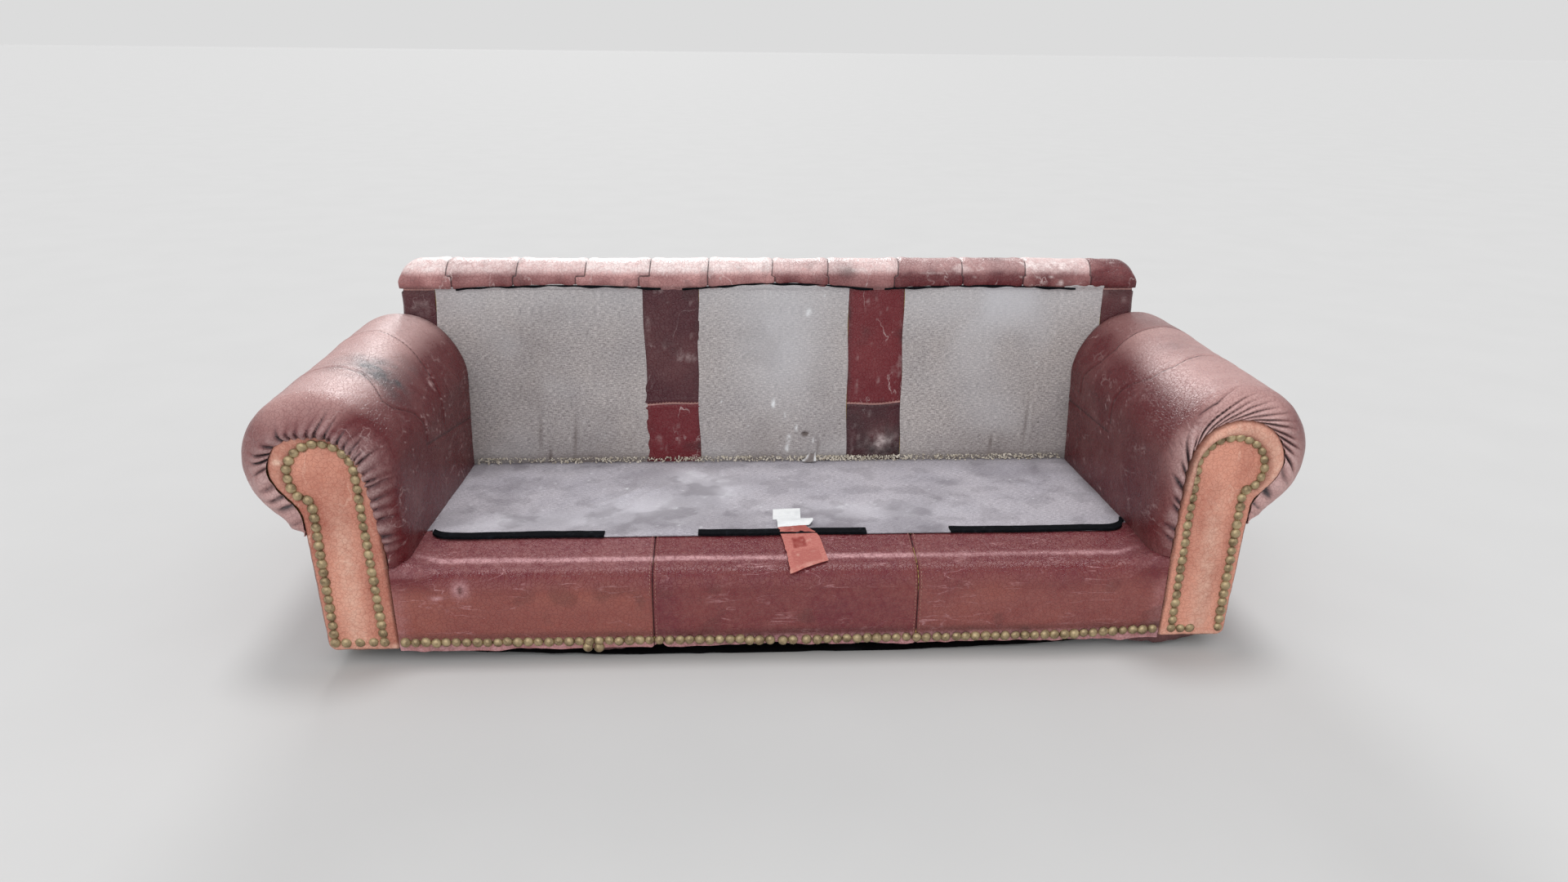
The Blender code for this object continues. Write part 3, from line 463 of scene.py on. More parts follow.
def deckZ(y):
    share = np.clip((y - sofa["deckFrontY"]) / (sofa["junctionY"] - sofa["deckFrontY"]), 0, None)
    return sofa["deckFrontZ"] + (sofa["junctionZ"] - sofa["deckFrontZ"]) * share


def stemIn(z):
    return 0.821 + 0.008 * (z - sofa["groundGap"]) / (0.400 - sofa["groundGap"])


def stemOut(z):
    return 0.969 + 0.010 * (z - sofa["groundGap"]) / (sofa["neckZ"] - sofa["groundGap"])


def facingGuide(lowOut, lowIn, counts):
    # edge of the facing: up the outer stem, round the neck and head, down the inner stem
    head = arcPath((sofa["headX"], sofa["headZ"]), sofa["headR"], 5, 160, counts[1])
    under = linePath((stemOut(lowOut), lowOut), (0.979, sofa["neckZ"]), counts[0] // 3 + 1)
    neck = bezierPath([under[-1], (0.979, sofa["neckZ"] + 0.040), (head[0, 0], head[0, 1] - 0.050),
        head[0]], counts[0] - counts[0] // 3)
    shoulder = bezierPath([head[-1], (0.830, 0.440), (0.829, 0.400)], counts[2])
    stem = linePath((0.829, 0.400), (stemIn(lowIn), lowIn), counts[3])
    return joinPaths([under, neck, head, shoulder, stem])


def armProfile(bottom, start, counts):
    centre = (sofa["rollX"], sofa["rollZ"])
    low = arcPath(centre, sofa["rollR"], start, -22, counts[0])
    high = arcPath(centre, sofa["rollR"], -22, 140, counts[1])
    leave = high[-1]
    fall = (leave[0] - sofa["wallX"]) / math.sin(math.radians(140))
    bend = bezierPath([leave, (sofa["wallX"], leave[1] + fall * math.cos(math.radians(140))),
        (sofa["wallX"], 0.430)], counts[2])
    wall = linePath((sofa["wallX"], 0.430), (sofa["wallX"], bottom), counts[3])
    return joinPaths([low, high, bend, wall])


def railSection(counts, radius=sofa["railR"], top=sofa["railTopZ"]):
    centre = (sofa["frontY"] + radius, top - radius)
    front = linePath((sofa["frontY"], sofa["groundGap"]), (sofa["frontY"], centre[1]), counts[0])
    nose = arcPath(centre, radius, 180, 98, counts[1])
    seat = linePath(nose[-1], (sofa["deckFrontY"], sofa["deckFrontZ"] - 0.001), counts[2])
    under = linePath(seat[-1], (sofa["deckFrontY"] + 0.070, deckZ(sofa["deckFrontY"] + 0.070) - 0.0004), 6)
    return joinPaths([front, nose, seat, under])


# Arm covers: leather over the roll, gathered at the nose.

arm = {
    "columns": (40, 220, 30, 46),   # under the roll, round it, over the shoulder, down the wall
    "rows": 104, "noseRows": 34,
    "left": {"seed": 11, "gathers": 30, "depth": 0.0150, "puff": 0.0080, "noseFade": -0.85,
        "noseFrom": (25, 75), "shoulderFade": 0.06, "rearFadeAndHighlight": 0.95, "paintedHighlight": (0.32, 0.70),
             "lap": ((-90, 0.003), (0, 0.003), (40, 0.006), (65, 0.016), (90, 0.023), (150, 0.023),
                 (190, 0.018), (215, 0.012), (233, 0.005)),
             "lean": ((-90, 0.1), (20, 0.4), (60, 1.2), (105, 1.5), (150, 0.7), (190, 0.3), (233, 0.2)),
             "reach": ((-90, 0.045), (0, 0.055), (80, 0.060), (130, 0.075), (170, 0.062), (233, 0.050)),
             "frontSeam": ((-90, -0.19), (90, -0.200), (115, -0.215), (140, -0.275), (150, -0.262),
                 (165, -0.195), (178, -0.168)),
             "rearSeam": ((-90, 0.09), (90, 0.094), (115, 0.056), (140, 0.020), (178, -0.020)),
             "wallSeam": ((-0.172, 0.401), (0.195, 0.329)),
             "smudges": (((-0.885, -0.165, 0.578), (0.072, 0.068, 0.06), 1.15),
                 ((-0.842, -0.200, 0.545), (0.040, 0.050, 0.04), 0.75),
                         ((-0.848, -0.050, 0.552), (0.035, 0.055, 0.04), 0.40)),
             "bare": (((-0.813, -0.028, 0.494), (0.007, 0.006, 0.007), 1.3),
                 ((-1.095, -0.400, 0.395), (0.014, 0.010, 0.011), 1.8))},
    "right": {"seed": 23, "gathers": 21, "depth": 0.0160, "puff": 0.0040, "noseFade": 0.60,
        "noseFrom": (-100, -20), "shoulderFade": 0.42, "rearFadeAndHighlight": 0.45, "paintedHighlight": (0.08, 0.12),
              "lap": ((-90, 0.002), (40, 0.003), (110, 0.004), (150, 0.002), (233, 0.001)),
              "lean": ((-90, -0.2), (10, -0.5), (50, -1.1), (85, -1.7), (120, -1.8), (150, -0.9),
                  (233, -0.2)),
              "reach": ((-90, 0.050), (20, 0.065), (70, 0.095), (120, 0.105), (150, 0.050), (233, 0.030)),
              "frontSeam": ((-90, -0.14), (90, -0.143), (118, -0.168), (140, -0.150), (155, -0.100),
                  (165, -0.074), (178, -0.066)),
              "rearSeam": ((-90, 0.10), (90, 0.102), (118, 0.095), (140, 0.085), (160, 0.110),
                  (178, 0.156)),
              "wallSeam": ((-0.066, 0.377), (0.195, 0.36)),
              "smudges": (((0.95, -0.05, 0.59), (0.08, 0.12, 0.05), 0.30),), "bare": ()},
}


def armGrid():
    counts = arm["columns"]
    frontY, nose = sofa["frontY"], sofa["nose"]
    rows, turns = [], []
    tuck = np.array([0.898, 0.424])
    rear = armProfile(deckZ(sofa["junctionY"]) + 0.001, -90, counts)
    for share in (0.15, 0.45, 0.75, 0.93, 0.985, 1.0):
        flat = tuck + (rear - tuck) * share
        y = canvasY(flat[:, 1]) - 0.0007 - (0.007 if share == 1.0 else 0.001 if share > 0.95 else 0.0)
        rows.append(np.stack([flat[:, 0], y, flat[:, 1]], axis=-1))
        turns.append(0.0)
    startY = rows[-1][:, 1]
    noseY = frontY + nose
    for share in np.linspace(0, 1, arm["rows"])[1:]:
        y = startY + (noseY - startY) * share
        path = armProfile(deckZ(noseY) + 0.001, -90 + 11 * smooth(0.9, 1.0, share), counts)
        z = rear[:, 1] + (path[:, 1] - rear[:, 1]) * share
        rows.append(np.stack([rear[:, 0] + (path[:, 0] - rear[:, 0]) * share, y, z], axis=-1))
        turns.append(0.0)
    for turn in np.linspace(0, 90, arm["noseRows"])[1:]:
        angle = math.radians(turn)
        y = frontY + nose - (nose - 0.001) * math.sin(angle)
        bottom = deckZ(y) + 0.001
        outer = armProfile(bottom, -79, counts)
        guide = leftOf(facingGuide(outer[0, 1], bottom, counts), -0.0032)
        path = guide + (outer - guide) * math.cos(angle)
        rows.append(np.stack([path[:, 0], np.full(len(path), y), path[:, 1]], axis=-1))
        turns.append(turn)
    return np.array(rows), np.array(turns)


def makeArmCover(sideName, side):
    look = arm[sideName]
    points, turns = armGrid()
    rng = np.random.default_rng(look["seed"])
    angle = np.degrees(np.arctan2(points[..., 2] - sofa["rollZ"], points[..., 0] - sofa["rollX"]))
    angle = np.where(angle < -100, angle + 360, angle)
    along = np.concatenate([[0],
        np.cumsum(np.linalg.norm(np.diff(points[-arm["noseRows"] - 10], axis=0), axis=-1))])
    girth = np.broadcast_to(along, points.shape[:2])
    edge = np.linalg.norm(np.diff(points, axis=0), axis=-1)
    back = np.concatenate([np.cumsum(edge[::-1], axis=0)[::-1], np.zeros((1, points.shape[1]))])
    inside = np.array([sofa["rollX"] - 0.03, 0.0, sofa["rollZ"] - 0.02])
    normal = outward(points, inside)
    # gathers: round folds with a sharp valley between each two, drawn to the facing's edge
    total = along[-1]
    count = look["gathers"]
    place = np.linspace(-0.15, total + 0.15, count + 12) + rng.uniform(-0.011, 0.011, count + 12)
    depth = rng.uniform(0.55, 1.25, count + 12)
    stretch = rng.uniform(0.65, 1.25, count + 12)
    table = {key: np.interp(angle, [a for a, value in look[key]], [value for a, value in look[key]])
        for key in ("lap", "lean", "reach")}
    shifted = girth - table["lean"] * back + 0.0035 * rough(points, 0.030, look["seed"] + 6, 2)
    cell = np.clip(np.searchsorted(place, shifted) - 1, 0, len(place) - 2)
    phase = (shifted - place[cell]) / (place[cell + 1] - place[cell])
    fold = np.abs(np.sin(np.pi * np.clip(phase, 0, 1))) ** 0.55
    deep = np.interp(shifted, place, depth)
    fade = smooth(table["reach"] * np.interp(shifted, place, stretch), 0.004, back) * smooth(total,
        total - 0.10, girth)
    nearNose = smooth(0.10, 0.0, back)
    valley = (1 - fold) * fade * deep * smooth(0.0, 0.12, girth)
    fade *= smooth(0.010, 0.150, girth)
    height = look["depth"] * deep * fade * (fold - 0.80) * (0.55 + 0.45 * smooth(0.0, 0.012, back))
    height += look["puff"] * hill(back, 0.024, 0.020) * smooth(total, total - 0.10, girth) * smooth(0.0,
        0.05, girth)
    # fine wrinkles where the leather turns over the shoulder
    turned = points @ np.array([[0.5, 0.2, 1.0], [0.1, 1.0, 0.0], [0.2, 0.1, 0.5]])
    ridge = 1 - np.abs(rough(turned, 0.024, look["seed"] + 7, 2))
    shoulder = hill(angle, 165, 28) * smooth(0.085, 0.02, back)
    height -= (0.0024 * shoulder + 0.0012 * nearNose) * smooth(0.80, 1.0, ridge)
    height += 0.0010 * nearNose * rough(points, 0.012, look["seed"] + 1, 2)
    # upholstery never sits dead straight
    height += 0.0016 * rough(points, 0.16, look["seed"] + 2, 3) * smooth(0.0, 0.05, back)
    height += 0.0004 * rough(points, 0.022, look["seed"] + 3, 2)
    # signed distances from the seams, joined so that the nearest one is zero on its line
    seamFront, seamRear = (np.interp(angle, [a for a, y in look[key]], [y for a, y in look[key]])
        for key in ("frontSeam", "rearSeam"))
    below = 0.04 * (points[..., 2] < 0.40) * (points[..., 0] < 0.90)
    away = [points[..., 1] - seamFront, points[..., 1] - seamRear]
    (y0, z0), (y1, z1) = look["wallSeam"]
    wallLine = points[..., 2] - (z0 + (z1 - z0) * (points[..., 1] - y0) / (y1 - y0))
    away = [line + np.sign(line) * below for line in away]
    away.append(wallLine + np.sign(wallLine)
        * (0.05 * (points[..., 1] < y0) + 0.05 * (points[..., 0] > 0.80)))
    seam = away[0]
    for line in away[1:]:
        seam = seam * line / np.sqrt(seam ** 2 + line ** 2 + 1e-9)
    height -= 0.0022 * hill(seam, 0.0, 0.0045)
    height += 0.0011 * hill(np.abs(seam), 0.010, 0.006)
    rearCap = np.arange(len(turns)) < 5
    height[rearCap] = 0
    points = points + normal * height[..., None]
    # the nose hangs over the facing's border and rolls under at its edge
    lap = table["lap"] * smooth(30, 75, turns)[:, None] * smooth(total - 0.01, total - 0.10, girth)
    target = np.where(points[..., 2] < sofa["headZ"], points[..., 2]
        + 0.35 * (sofa["headZ"] - points[..., 2]), sofa["headZ"])
    inwards = np.stack([sofa["headX"] - points[..., 0], np.zeros(points.shape[:2]),
        target - points[..., 2]], axis=-1)
    inwards /= np.maximum(np.linalg.norm(inwards, axis=-1, keepdims=True), 1e-6)
    points = points + inwards * (lap * (0.85 + 0.30 * fold))[..., None]
    points[..., 1] -= lap * (0.36 + 0.30 * hill(turns, 74, 12)[:, None])
    # dye: the rear piece and the inner wall keep it, the top and the nose have lost it
    ridgeTop = smooth(28, 72, angle) * smooth(150, 112, angle)
    faded = 0.86 * ridgeTop + 0.26 * smooth(75, 20, angle) * (points[..., 0] > 0.90)
    rearPiece = points[..., 1] > seamRear
    # on the left the rear piece keeps more of its fade, which also stands in for the highlight on its top:
    # painted highlight
    faded = np.where(rearPiece, faded * look["rearFadeAndHighlight"] - 0.05, faded)
    faded += 0.10 * rough(points, 0.12, look["seed"] + 8, 2)
    faded += look["noseFade"] * nearNose * smooth(*look["noseFrom"], angle) * smooth(185, 150, angle)
    faded += 0.62 * smooth(0.14, 0.02, back) * smooth(35, -50, angle)
    faded += look["shoulderFade"] * (shoulder + 0.5 * smooth(0.22, 0.02, back) * smooth(150, 200, angle))
    # the fold valleys are painted darker, here and through the grime mark below: painted shade
    faded -= 0.35 * valley
    rub = 0.45 * fade * fold ** 3 * nearNose + 0.20 * shoulder
    # a pale band painted along the top of the roll, strongest on the left rear piece: painted highlight
    rub += np.where(rearPiece, look["paintedHighlight"][1], look["paintedHighlight"][0]) * hill(angle, 100, 26) * smooth(0.05,
        0.20, back)
    scratch = smooth(0.97, 1.0,
        1 - np.abs(rough(points @ np.array([[1, 0.3, 0], [0, 1, 0.5], [0.4, 0, 1]]), 0.05, look["seed"]
            + 9, 3)))
    rub += 0.85 * scratch * smooth(140, 190, angle) * smooth(0.1, 0.6,
        rough(points, 0.09, look["seed"] + 10, 2))
    # painted shade in the fold valleys
    grime = np.clip(valley * 2.4 - 0.25, 0, 1)
    mirrored = points * np.array([side, 1, 1])
    for centre, radius, strength in look["smudges"]:
        grime = grime + strength * blot(mirrored, centre, radius) * (0.75
            + 0.45 * rough(points, 0.03, look["seed"] + 11, 3))
    for centre, radius, strength in look["bare"]:
        rub = rub + strength * blot(mirrored, centre, radius)
    # darker towards the bottom of the inner wall, where it meets the deck
    grime += 0.35 * smooth(0.25, 0.19, points[..., 2]) * (points[..., 0] < 0.83)
    marks = {"fade": np.clip(faded, 0, 1.2), "rub": np.clip(rub, 0, 1), "grime": np.clip(grime, 0, 1),
        "seam": seam}
    piece = makeSurface("arm_leather_" + sideName, mirrored, inside * np.array([side, 1, 1]), armLeather,
        marks, 0.003)
    finishPiece(piece, "arm_leather", "arm_cover_" + sideName)


for sideName, side in (("left", -1), ("right", 1)):
    makeArmCover(sideName, side)
print("arm covers gathered")


# Scroll facings.

facing = {
    "counts": (60, 90, 16, 46), "bottomSteps": 24, "rings": 30,
    "left": {"seed": 5, "nailHead": (0.929, 0.432), "nailRadii": (0.067, 0.069),
        # the left border's low fade is partly dye and partly painted shade under the overhanging gathers
        "inner": (0.861, 0.858, 0.850), "puff": 0.0055, "border": 0.22,
             "tone": ((0.03, 0.88), (0.12, 0.78), (0.25, 0.60), (0.36, 0.46), (0.42, 0.66), (0.47, 0.92),
                 (0.53, 0.90)),
             "smudges": (((-0.93, 0, 0.10), (0.05, 0.1, 0.05), 0.25),), "bits": ((-1.010, -0.425, 0.463),)},
    "right": {"seed": 9, "nailHead": (0.922, 0.430), "nailRadii": (0.072, 0.069),
        "inner": (0.849, 0.848, 0.848), "puff": 0.0135, "border": 0.62,
              "tone": ((0.03, 0.92), (0.12, 0.80), (0.20, 0.52), (0.32, 0.46), (0.40, 0.72), (0.46, 0.88),
                  (0.53, 0.80)),
              "smudges": (((0.940, 0, 0.125), (0.008, 0.1, 0.03), 0.55),
                  ((0.87, 0, 0.44), (0.02, 0.1, 0.03), 0.30)), "bits": ()},
}


def nailLoop(sideName):
    # the line that the nails follow: outer column, hook, head, inner column, bottom row
    look = facing[sideName]
    (cx, cz), radii = look["nailHead"], look["nailRadii"]
    head = arcPath((cx, cz), radii, -38, 186, 90)
    outerTop = np.array([0.957, 0.380])
    outer = linePath((0.953, 0.051), (0.956, 0.372), 60)
    hook = bezierPath([outer[-1], outerTop, head[0] + np.array([-0.008, -0.004]), head[0]], 8)
    top, middle, low = look["inner"]
    inner = bezierPath([head[-1], (top, 0.36), (middle, 0.25), (low, 0.051)], 60)
    return joinPaths([outer, hook, head, inner])


def insideLoop(points, loop):
    crossings = np.zeros(points.shape[:-1], int)
    x, z = points[..., 0], points[..., 1]
    for (x0, z0), (x1, z1) in zip(loop, np.roll(loop, -1, axis=0)):
        straddles = (z0 > z) != (z1 > z)
        reach = x0 + (z - z0) * (x1 - x0) / (z1 - z0 if z1 != z0 else 1e-9)
        crossings += straddles & (x < reach)
    return crossings % 2 == 1


def nearest(points, path):
    flat = points.reshape(-1, 2)
    best = np.full(len(flat), 9.0)
    for a, b in zip(path[:-1], path[1:]):
        run = b - a
        t = np.clip(((flat - a) @ run) / max(run @ run, 1e-12), 0, 1)
        best = np.minimum(best, np.linalg.norm(flat - a - t[:, None] * run, axis=-1))
    return best.reshape(points.shape[:-1])


def makeFacing(sideName, side):
    look = facing[sideName]
    ground = sofa["groundGap"]
    lowOut = arcPath((0.969 - 0.018, ground + 0.018), 0.018, -90, 0, 9)
    guide = facingGuide(sofa["neckZ"] * 0.55, sofa["neckZ"] * 0.55, facing["counts"])
    upOut = linePath(lowOut[-1], guide[0], 24)
    lowIn = arcPath((0.821 + 0.006, ground + 0.006), 0.006, 180, 270, 5)
    downIn = linePath(guide[-1], lowIn[0], 24)
    bottom = linePath(lowIn[-1], lowOut[0], facing["bottomSteps"])
    outline = joinPaths([upOut, guide, downIn, lowIn, bottom, lowOut])[:-1]
    foot = np.array([0.895, 0.105])
    head = np.array([sofa["headX"], sofa["headZ"]])
    axis = head - foot
    share = np.clip(((outline - foot) @ axis) / (axis @ axis), 0, 1)[:, None]
    spine = foot + axis * share
    rings, inward = [], []
    reach = np.linalg.norm(spine - outline, axis=-1, keepdims=True)
    for step in np.linspace(0, 1, facing["rings"]) ** 1.15 * 0.93:
        rings.append(outline + (spine - outline) * step)
        inward.append((reach * step)[:, 0])
    flat = np.array(rings)
    inward = np.array(inward)
    loop = nailLoop(sideName)
    nails = nearest(flat, loop)
    within = insideLoop(flat, np.concatenate([loop, [[0.953, 0.051]]]))
    toEdge = np.maximum(inward, 1e-5)
    band = toEdge / (toEdge + nails)
    headish = smooth(0.34, 0.42, flat[..., 1])
    border = (0.0035 + (look["puff"] - 0.0035) * headish) * np.clip(4 * band * (1 - band), 0, 1) ** 0.8
    panel = -0.0006 + 0.0040 * (1 - np.exp(-nails / 0.022))
    height = np.where(within, panel, border - 0.0006)
    height -= 0.0012 * hill(nails, 0, 0.006)
    height -= 0.004 * smooth(0.006, 0.0, inward)
    solid = np.stack([flat[..., 0] * side, np.full(flat.shape[:2], sofa["frontY"]), flat[..., 1]], axis=-1)
    wrinkle = rough(solid * np.array([1, 1, 1]), 0.016, look["seed"], 3)
    height += np.where(within, 0.0005, 0.0013) * wrinkle + 0.0009 * rough(solid, 0.07, look["seed"] + 4, 2)
    solid[..., 1] -= height
    faded = np.interp(flat[..., 1], [z for z, value in look["tone"]], [value for z, value in look["tone"]])
    faded = (np.where(within, faded, look["border"] + 0.45 * smooth(0.40, 0.10, flat[..., 1]))
        + 0.36 * rough(solid * np.array([2.6, 1.0, 0.5]), 0.10, look["seed"] + 5, 3))
    rub = 0.80 * look["border"] * np.clip(4 * band * (1 - band), 0,
        1) * ~within * headish + 0.5 * hill(flat[..., 0], 0.905, 0.022) * within * smooth(0.45, 0.25,
        flat[..., 1])
    rub += 0.4 * smooth(0.055, 0.035, flat[..., 1])
    # darker round each nail and along the outline, where the facing turns in
    grime = 0.75 * hill(nails, 0.0, 0.0075) + 0.8 * smooth(0.008, 0.0, inward)
    for centre, radius, strength in look["smudges"]:
        grime = grime + strength * blot(solid, centre, radius)
    for centre in look["bits"]:
        rub = rub + 1.6 * blot(solid, centre, (0.006, 0.05, 0.005))
    marks = {"fade": np.clip(faded, 0, 1), "rub": np.clip(rub, 0, 1), "grime": np.clip(grime, 0, 1)}
    # back edge, face rings and a closing face in the middle
    behind = solid[0].copy()
    behind[:, 1] = sofa["frontY"] + 0.008
    rows = np.concatenate([behind[None], solid])
    marks = {key: np.concatenate([value[:1], value]) for key, value in marks.items()}
    count = rows.shape[1]
    index = np.arange(rows.shape[0] * count).reshape(-1, count)
    quads = np.stack([index[:-1], np.roll(index[:-1], -1, axis=1), np.roll(index[1:], -1, axis=1),
        index[1:]], axis=-1).reshape(-1, 4)
    mesh = bpy.data.meshes.new("facing_leather_" + sideName)
    mesh.from_pydata(rows.reshape(-1, 3).tolist(), [], quads.tolist()
        + [index[-1].tolist(), index[0, ::-1].tolist()])
    shell = bmesh.new()
    shell.from_mesh(mesh)
    bmesh.ops.triangulate(shell, faces=[f for f in shell.faces if len(f.verts) > 4])
    bmesh.ops.recalc_face_normals(shell, faces=shell.faces)
    shell.to_mesh(mesh)
    shell.free()
    for key in ("fade", "rub", "grime", "seam"):
        value = marks.get(key, np.full(rows.shape[:2], 0.05))
        mesh.attributes.new(key, "FLOAT", "POINT").data.foreach_set("value",
            value.astype(np.float32).ravel())
    mesh.shade_smooth()
    mesh.set_sharp_from_angle(angle=math.radians(60))
    mesh.materials.append(facingLeather)
    piece = bpy.data.objects.new(mesh.name, mesh)
    bpy.context.scene.collection.objects.link(piece)
    finishPiece(piece, "facing_leather", "facing_" + sideName)


for sideName, side in (("left", -1), ("right", 1)):
    makeFacing(sideName, side)
print("facings padded")


# Front rail.

rail = {
    "section": (46, 36, 34), "columnPitch": 0.0055,
    "nick": (-0.683, -0.421, 0.169), "scratch": (-0.733, -0.421, 0.152),
    # per section: fade, front wear, a paler top, and the strength of the highlight painted along the nosing
    "left": {"fade": 0.74, "rub": 0.06, "top": 0.20, "paintedHighlight": 1.15, "seed": 3},
    "middle": {"fade": 0.16, "rub": 0.06, "top": 0.08, "paintedHighlight": 1.05, "seed": 4},
    "right": {"fade": 0.50, "rub": 0.08, "top": 0.10, "paintedHighlight": 0.65, "seed": 6},
}


def makeRail(sectionName, start, end):
    look = rail[sectionName]
    section = railSection(rail["section"])
    midX = 0.5 * ((-0.8 if start is None else start) + (0.8 if end is None else end))
    count = int(((0.82 if end is None else end) - (-0.82 if start is None else start))
        / rail["columnPitch"])
    share = np.linspace(0, 1, count)[None, :]
    low = -stemIn(section[:, 1]) + 0.0006 if start is None else np.full(len(section), start)
    high = stemIn(section[:, 1]) - 0.0006 if end is None else np.full(len(section), end)
    x = low[:, None] + (high - low)[:, None] * share
    # the roll squares up and rises where it runs under the arms
    square = railSection(rail["section"], 0.020, 0.2270)
    risen = smooth(0.725, 0.800, np.abs(x))
    points = np.stack([x, section[:, :1] + (square[:, :1] - section[:, :1]) * risen, section[:, 1:]
        + (square[:, 1:] - section[:, 1:]) * risen], axis=-1)
    normal = outward(points, (midX, sofa["frontY"] + 0.08, 0.10))
    height = 0.0015 * rough(points, 0.20, look["seed"], 2) + 0.0004 * rough(points, 0.03, look["seed"] + 1,
        2)
    height += 0.0018 * hill(points[..., 2], 0.11, 0.05) * (points[..., 1] < -0.40)
    seamAway = np.minimum(np.abs(points[..., 0] + sofa["railSeam"]),
        np.abs(points[..., 0] - sofa["railSeam"]))
    height -= 0.0030 * hill(seamAway, 0, 0.0022)
    height += 0.0012 * hill(seamAway, 0.006, 0.003)
    height -= 0.0016 * hill(points[..., 2], 0.046, 0.006) * (points[..., 1] < -0.40)
    ends = np.minimum(np.abs(points[..., 0] - low[:, None]) if start is None else 9,
        np.abs(high[:, None] - points[..., 0]) if end is None else 9)
    height -= 0.0012 * smooth(0.008, 0.0, ends)
    height *= 1 - 0.7 * risen
    height[-5:] = 0
    points += normal * height[..., None]
    # hem: worn wavy, with a torn bite under the first seam
    hemShare = smooth(0.052, 0.030, points[..., 2]) * (points[..., 1] < -0.40)
    wave = 0.0030 * rough(np.stack([points[..., 0], 0 * points[..., 0], 0 * points[..., 0]], axis=-1),
        0.05, 31, 2)
    bite = 0.014 * hill(points[..., 0], -0.271, 0.010) + 0.004 * hill(points[..., 0], -0.02, 0.03)
    points[..., 2] += hemShare * (wave + bite - 0.004)
    points[..., 1] -= hemShare * 0.003 * rough(points, 0.03, 33, 2)
    front = smooth(0.20, 0.14, points[..., 2])
    faded = look["fade"] * (0.10 + 0.90 * front) + 0.20 * rough(points, 0.12, look["seed"] + 2, 2) * front
    rub = look["rub"] * front + 0.65 * smooth(0.058, 0.046, points[..., 2]) * (points[..., 1] < -0.40)
    rub = rub + 0.22 * smooth(0.04, 0.0, ends) * front
    # the top is pinker, and a pale band is painted along the line where it turns down: partly wear, partly
    # a painted highlight
    turn = hill(points[..., 1], -0.362, 0.0070) * (points[..., 2] > 0.19) * (1 - risen)
    rub = rub + look["top"] * smooth(0.196, 0.203, points[..., 2]) + look["paintedHighlight"] * turn * (1
        + 0.3 * rough(points, 0.15, look["seed"] + 11, 2))
    nick = blot(points, rail["nick"], (0.006, 0.05, 0.009))
    grime = 0.45 * hill(points[..., 2], 0.058, 0.010) * (points[..., 1] < -0.40) + 0.9 * nick
    grime += 0.25 * smooth(0.5, 0.75, rough(points, 0.06, look["seed"] + 8, 2)) * front
    rim = blot(points, rail["nick"], (0.014, 0.05, 0.015)) - nick
    rub += 1.1 * rim + 0.9 * blot(points, rail["scratch"], (0.012, 0.05, 0.005))
    marks = {"fade": np.clip(faded, 0, 1), "rub": np.clip(rub, 0, 1), "grime": np.clip(grime, 0, 1),
        "seam": seamAway}
    piece = makeSurface("rail_leather_" + sectionName, points, (midX, sofa["frontY"] + 0.08, 0.10),
        railLeather, marks, 0.010)
    finishPiece(piece, "rail_leather", "rail_cover_" + sectionName)


makeRail("left", None, -sofa["railSeam"])
makeRail("middle", -sofa["railSeam"], sofa["railSeam"])
makeRail("right", sofa["railSeam"], None)
print("front rail covered")


# Deck.

deck = {"corner": 0.052, "columns": 300, "rows": 110, "sag": 0.0022}


def deckFront(x):
    # front edge of the canvas, with its corners rounded
    over = np.clip((np.abs(x) - (sofa["wallX"] - 0.012 - deck["corner"])) / deck["corner"], 0, 1)
    return sofa["deckFrontY"] + 0.0012 + deck["corner"] * (1 - np.sqrt(np.clip(1 - over ** 2, 0, 1)))


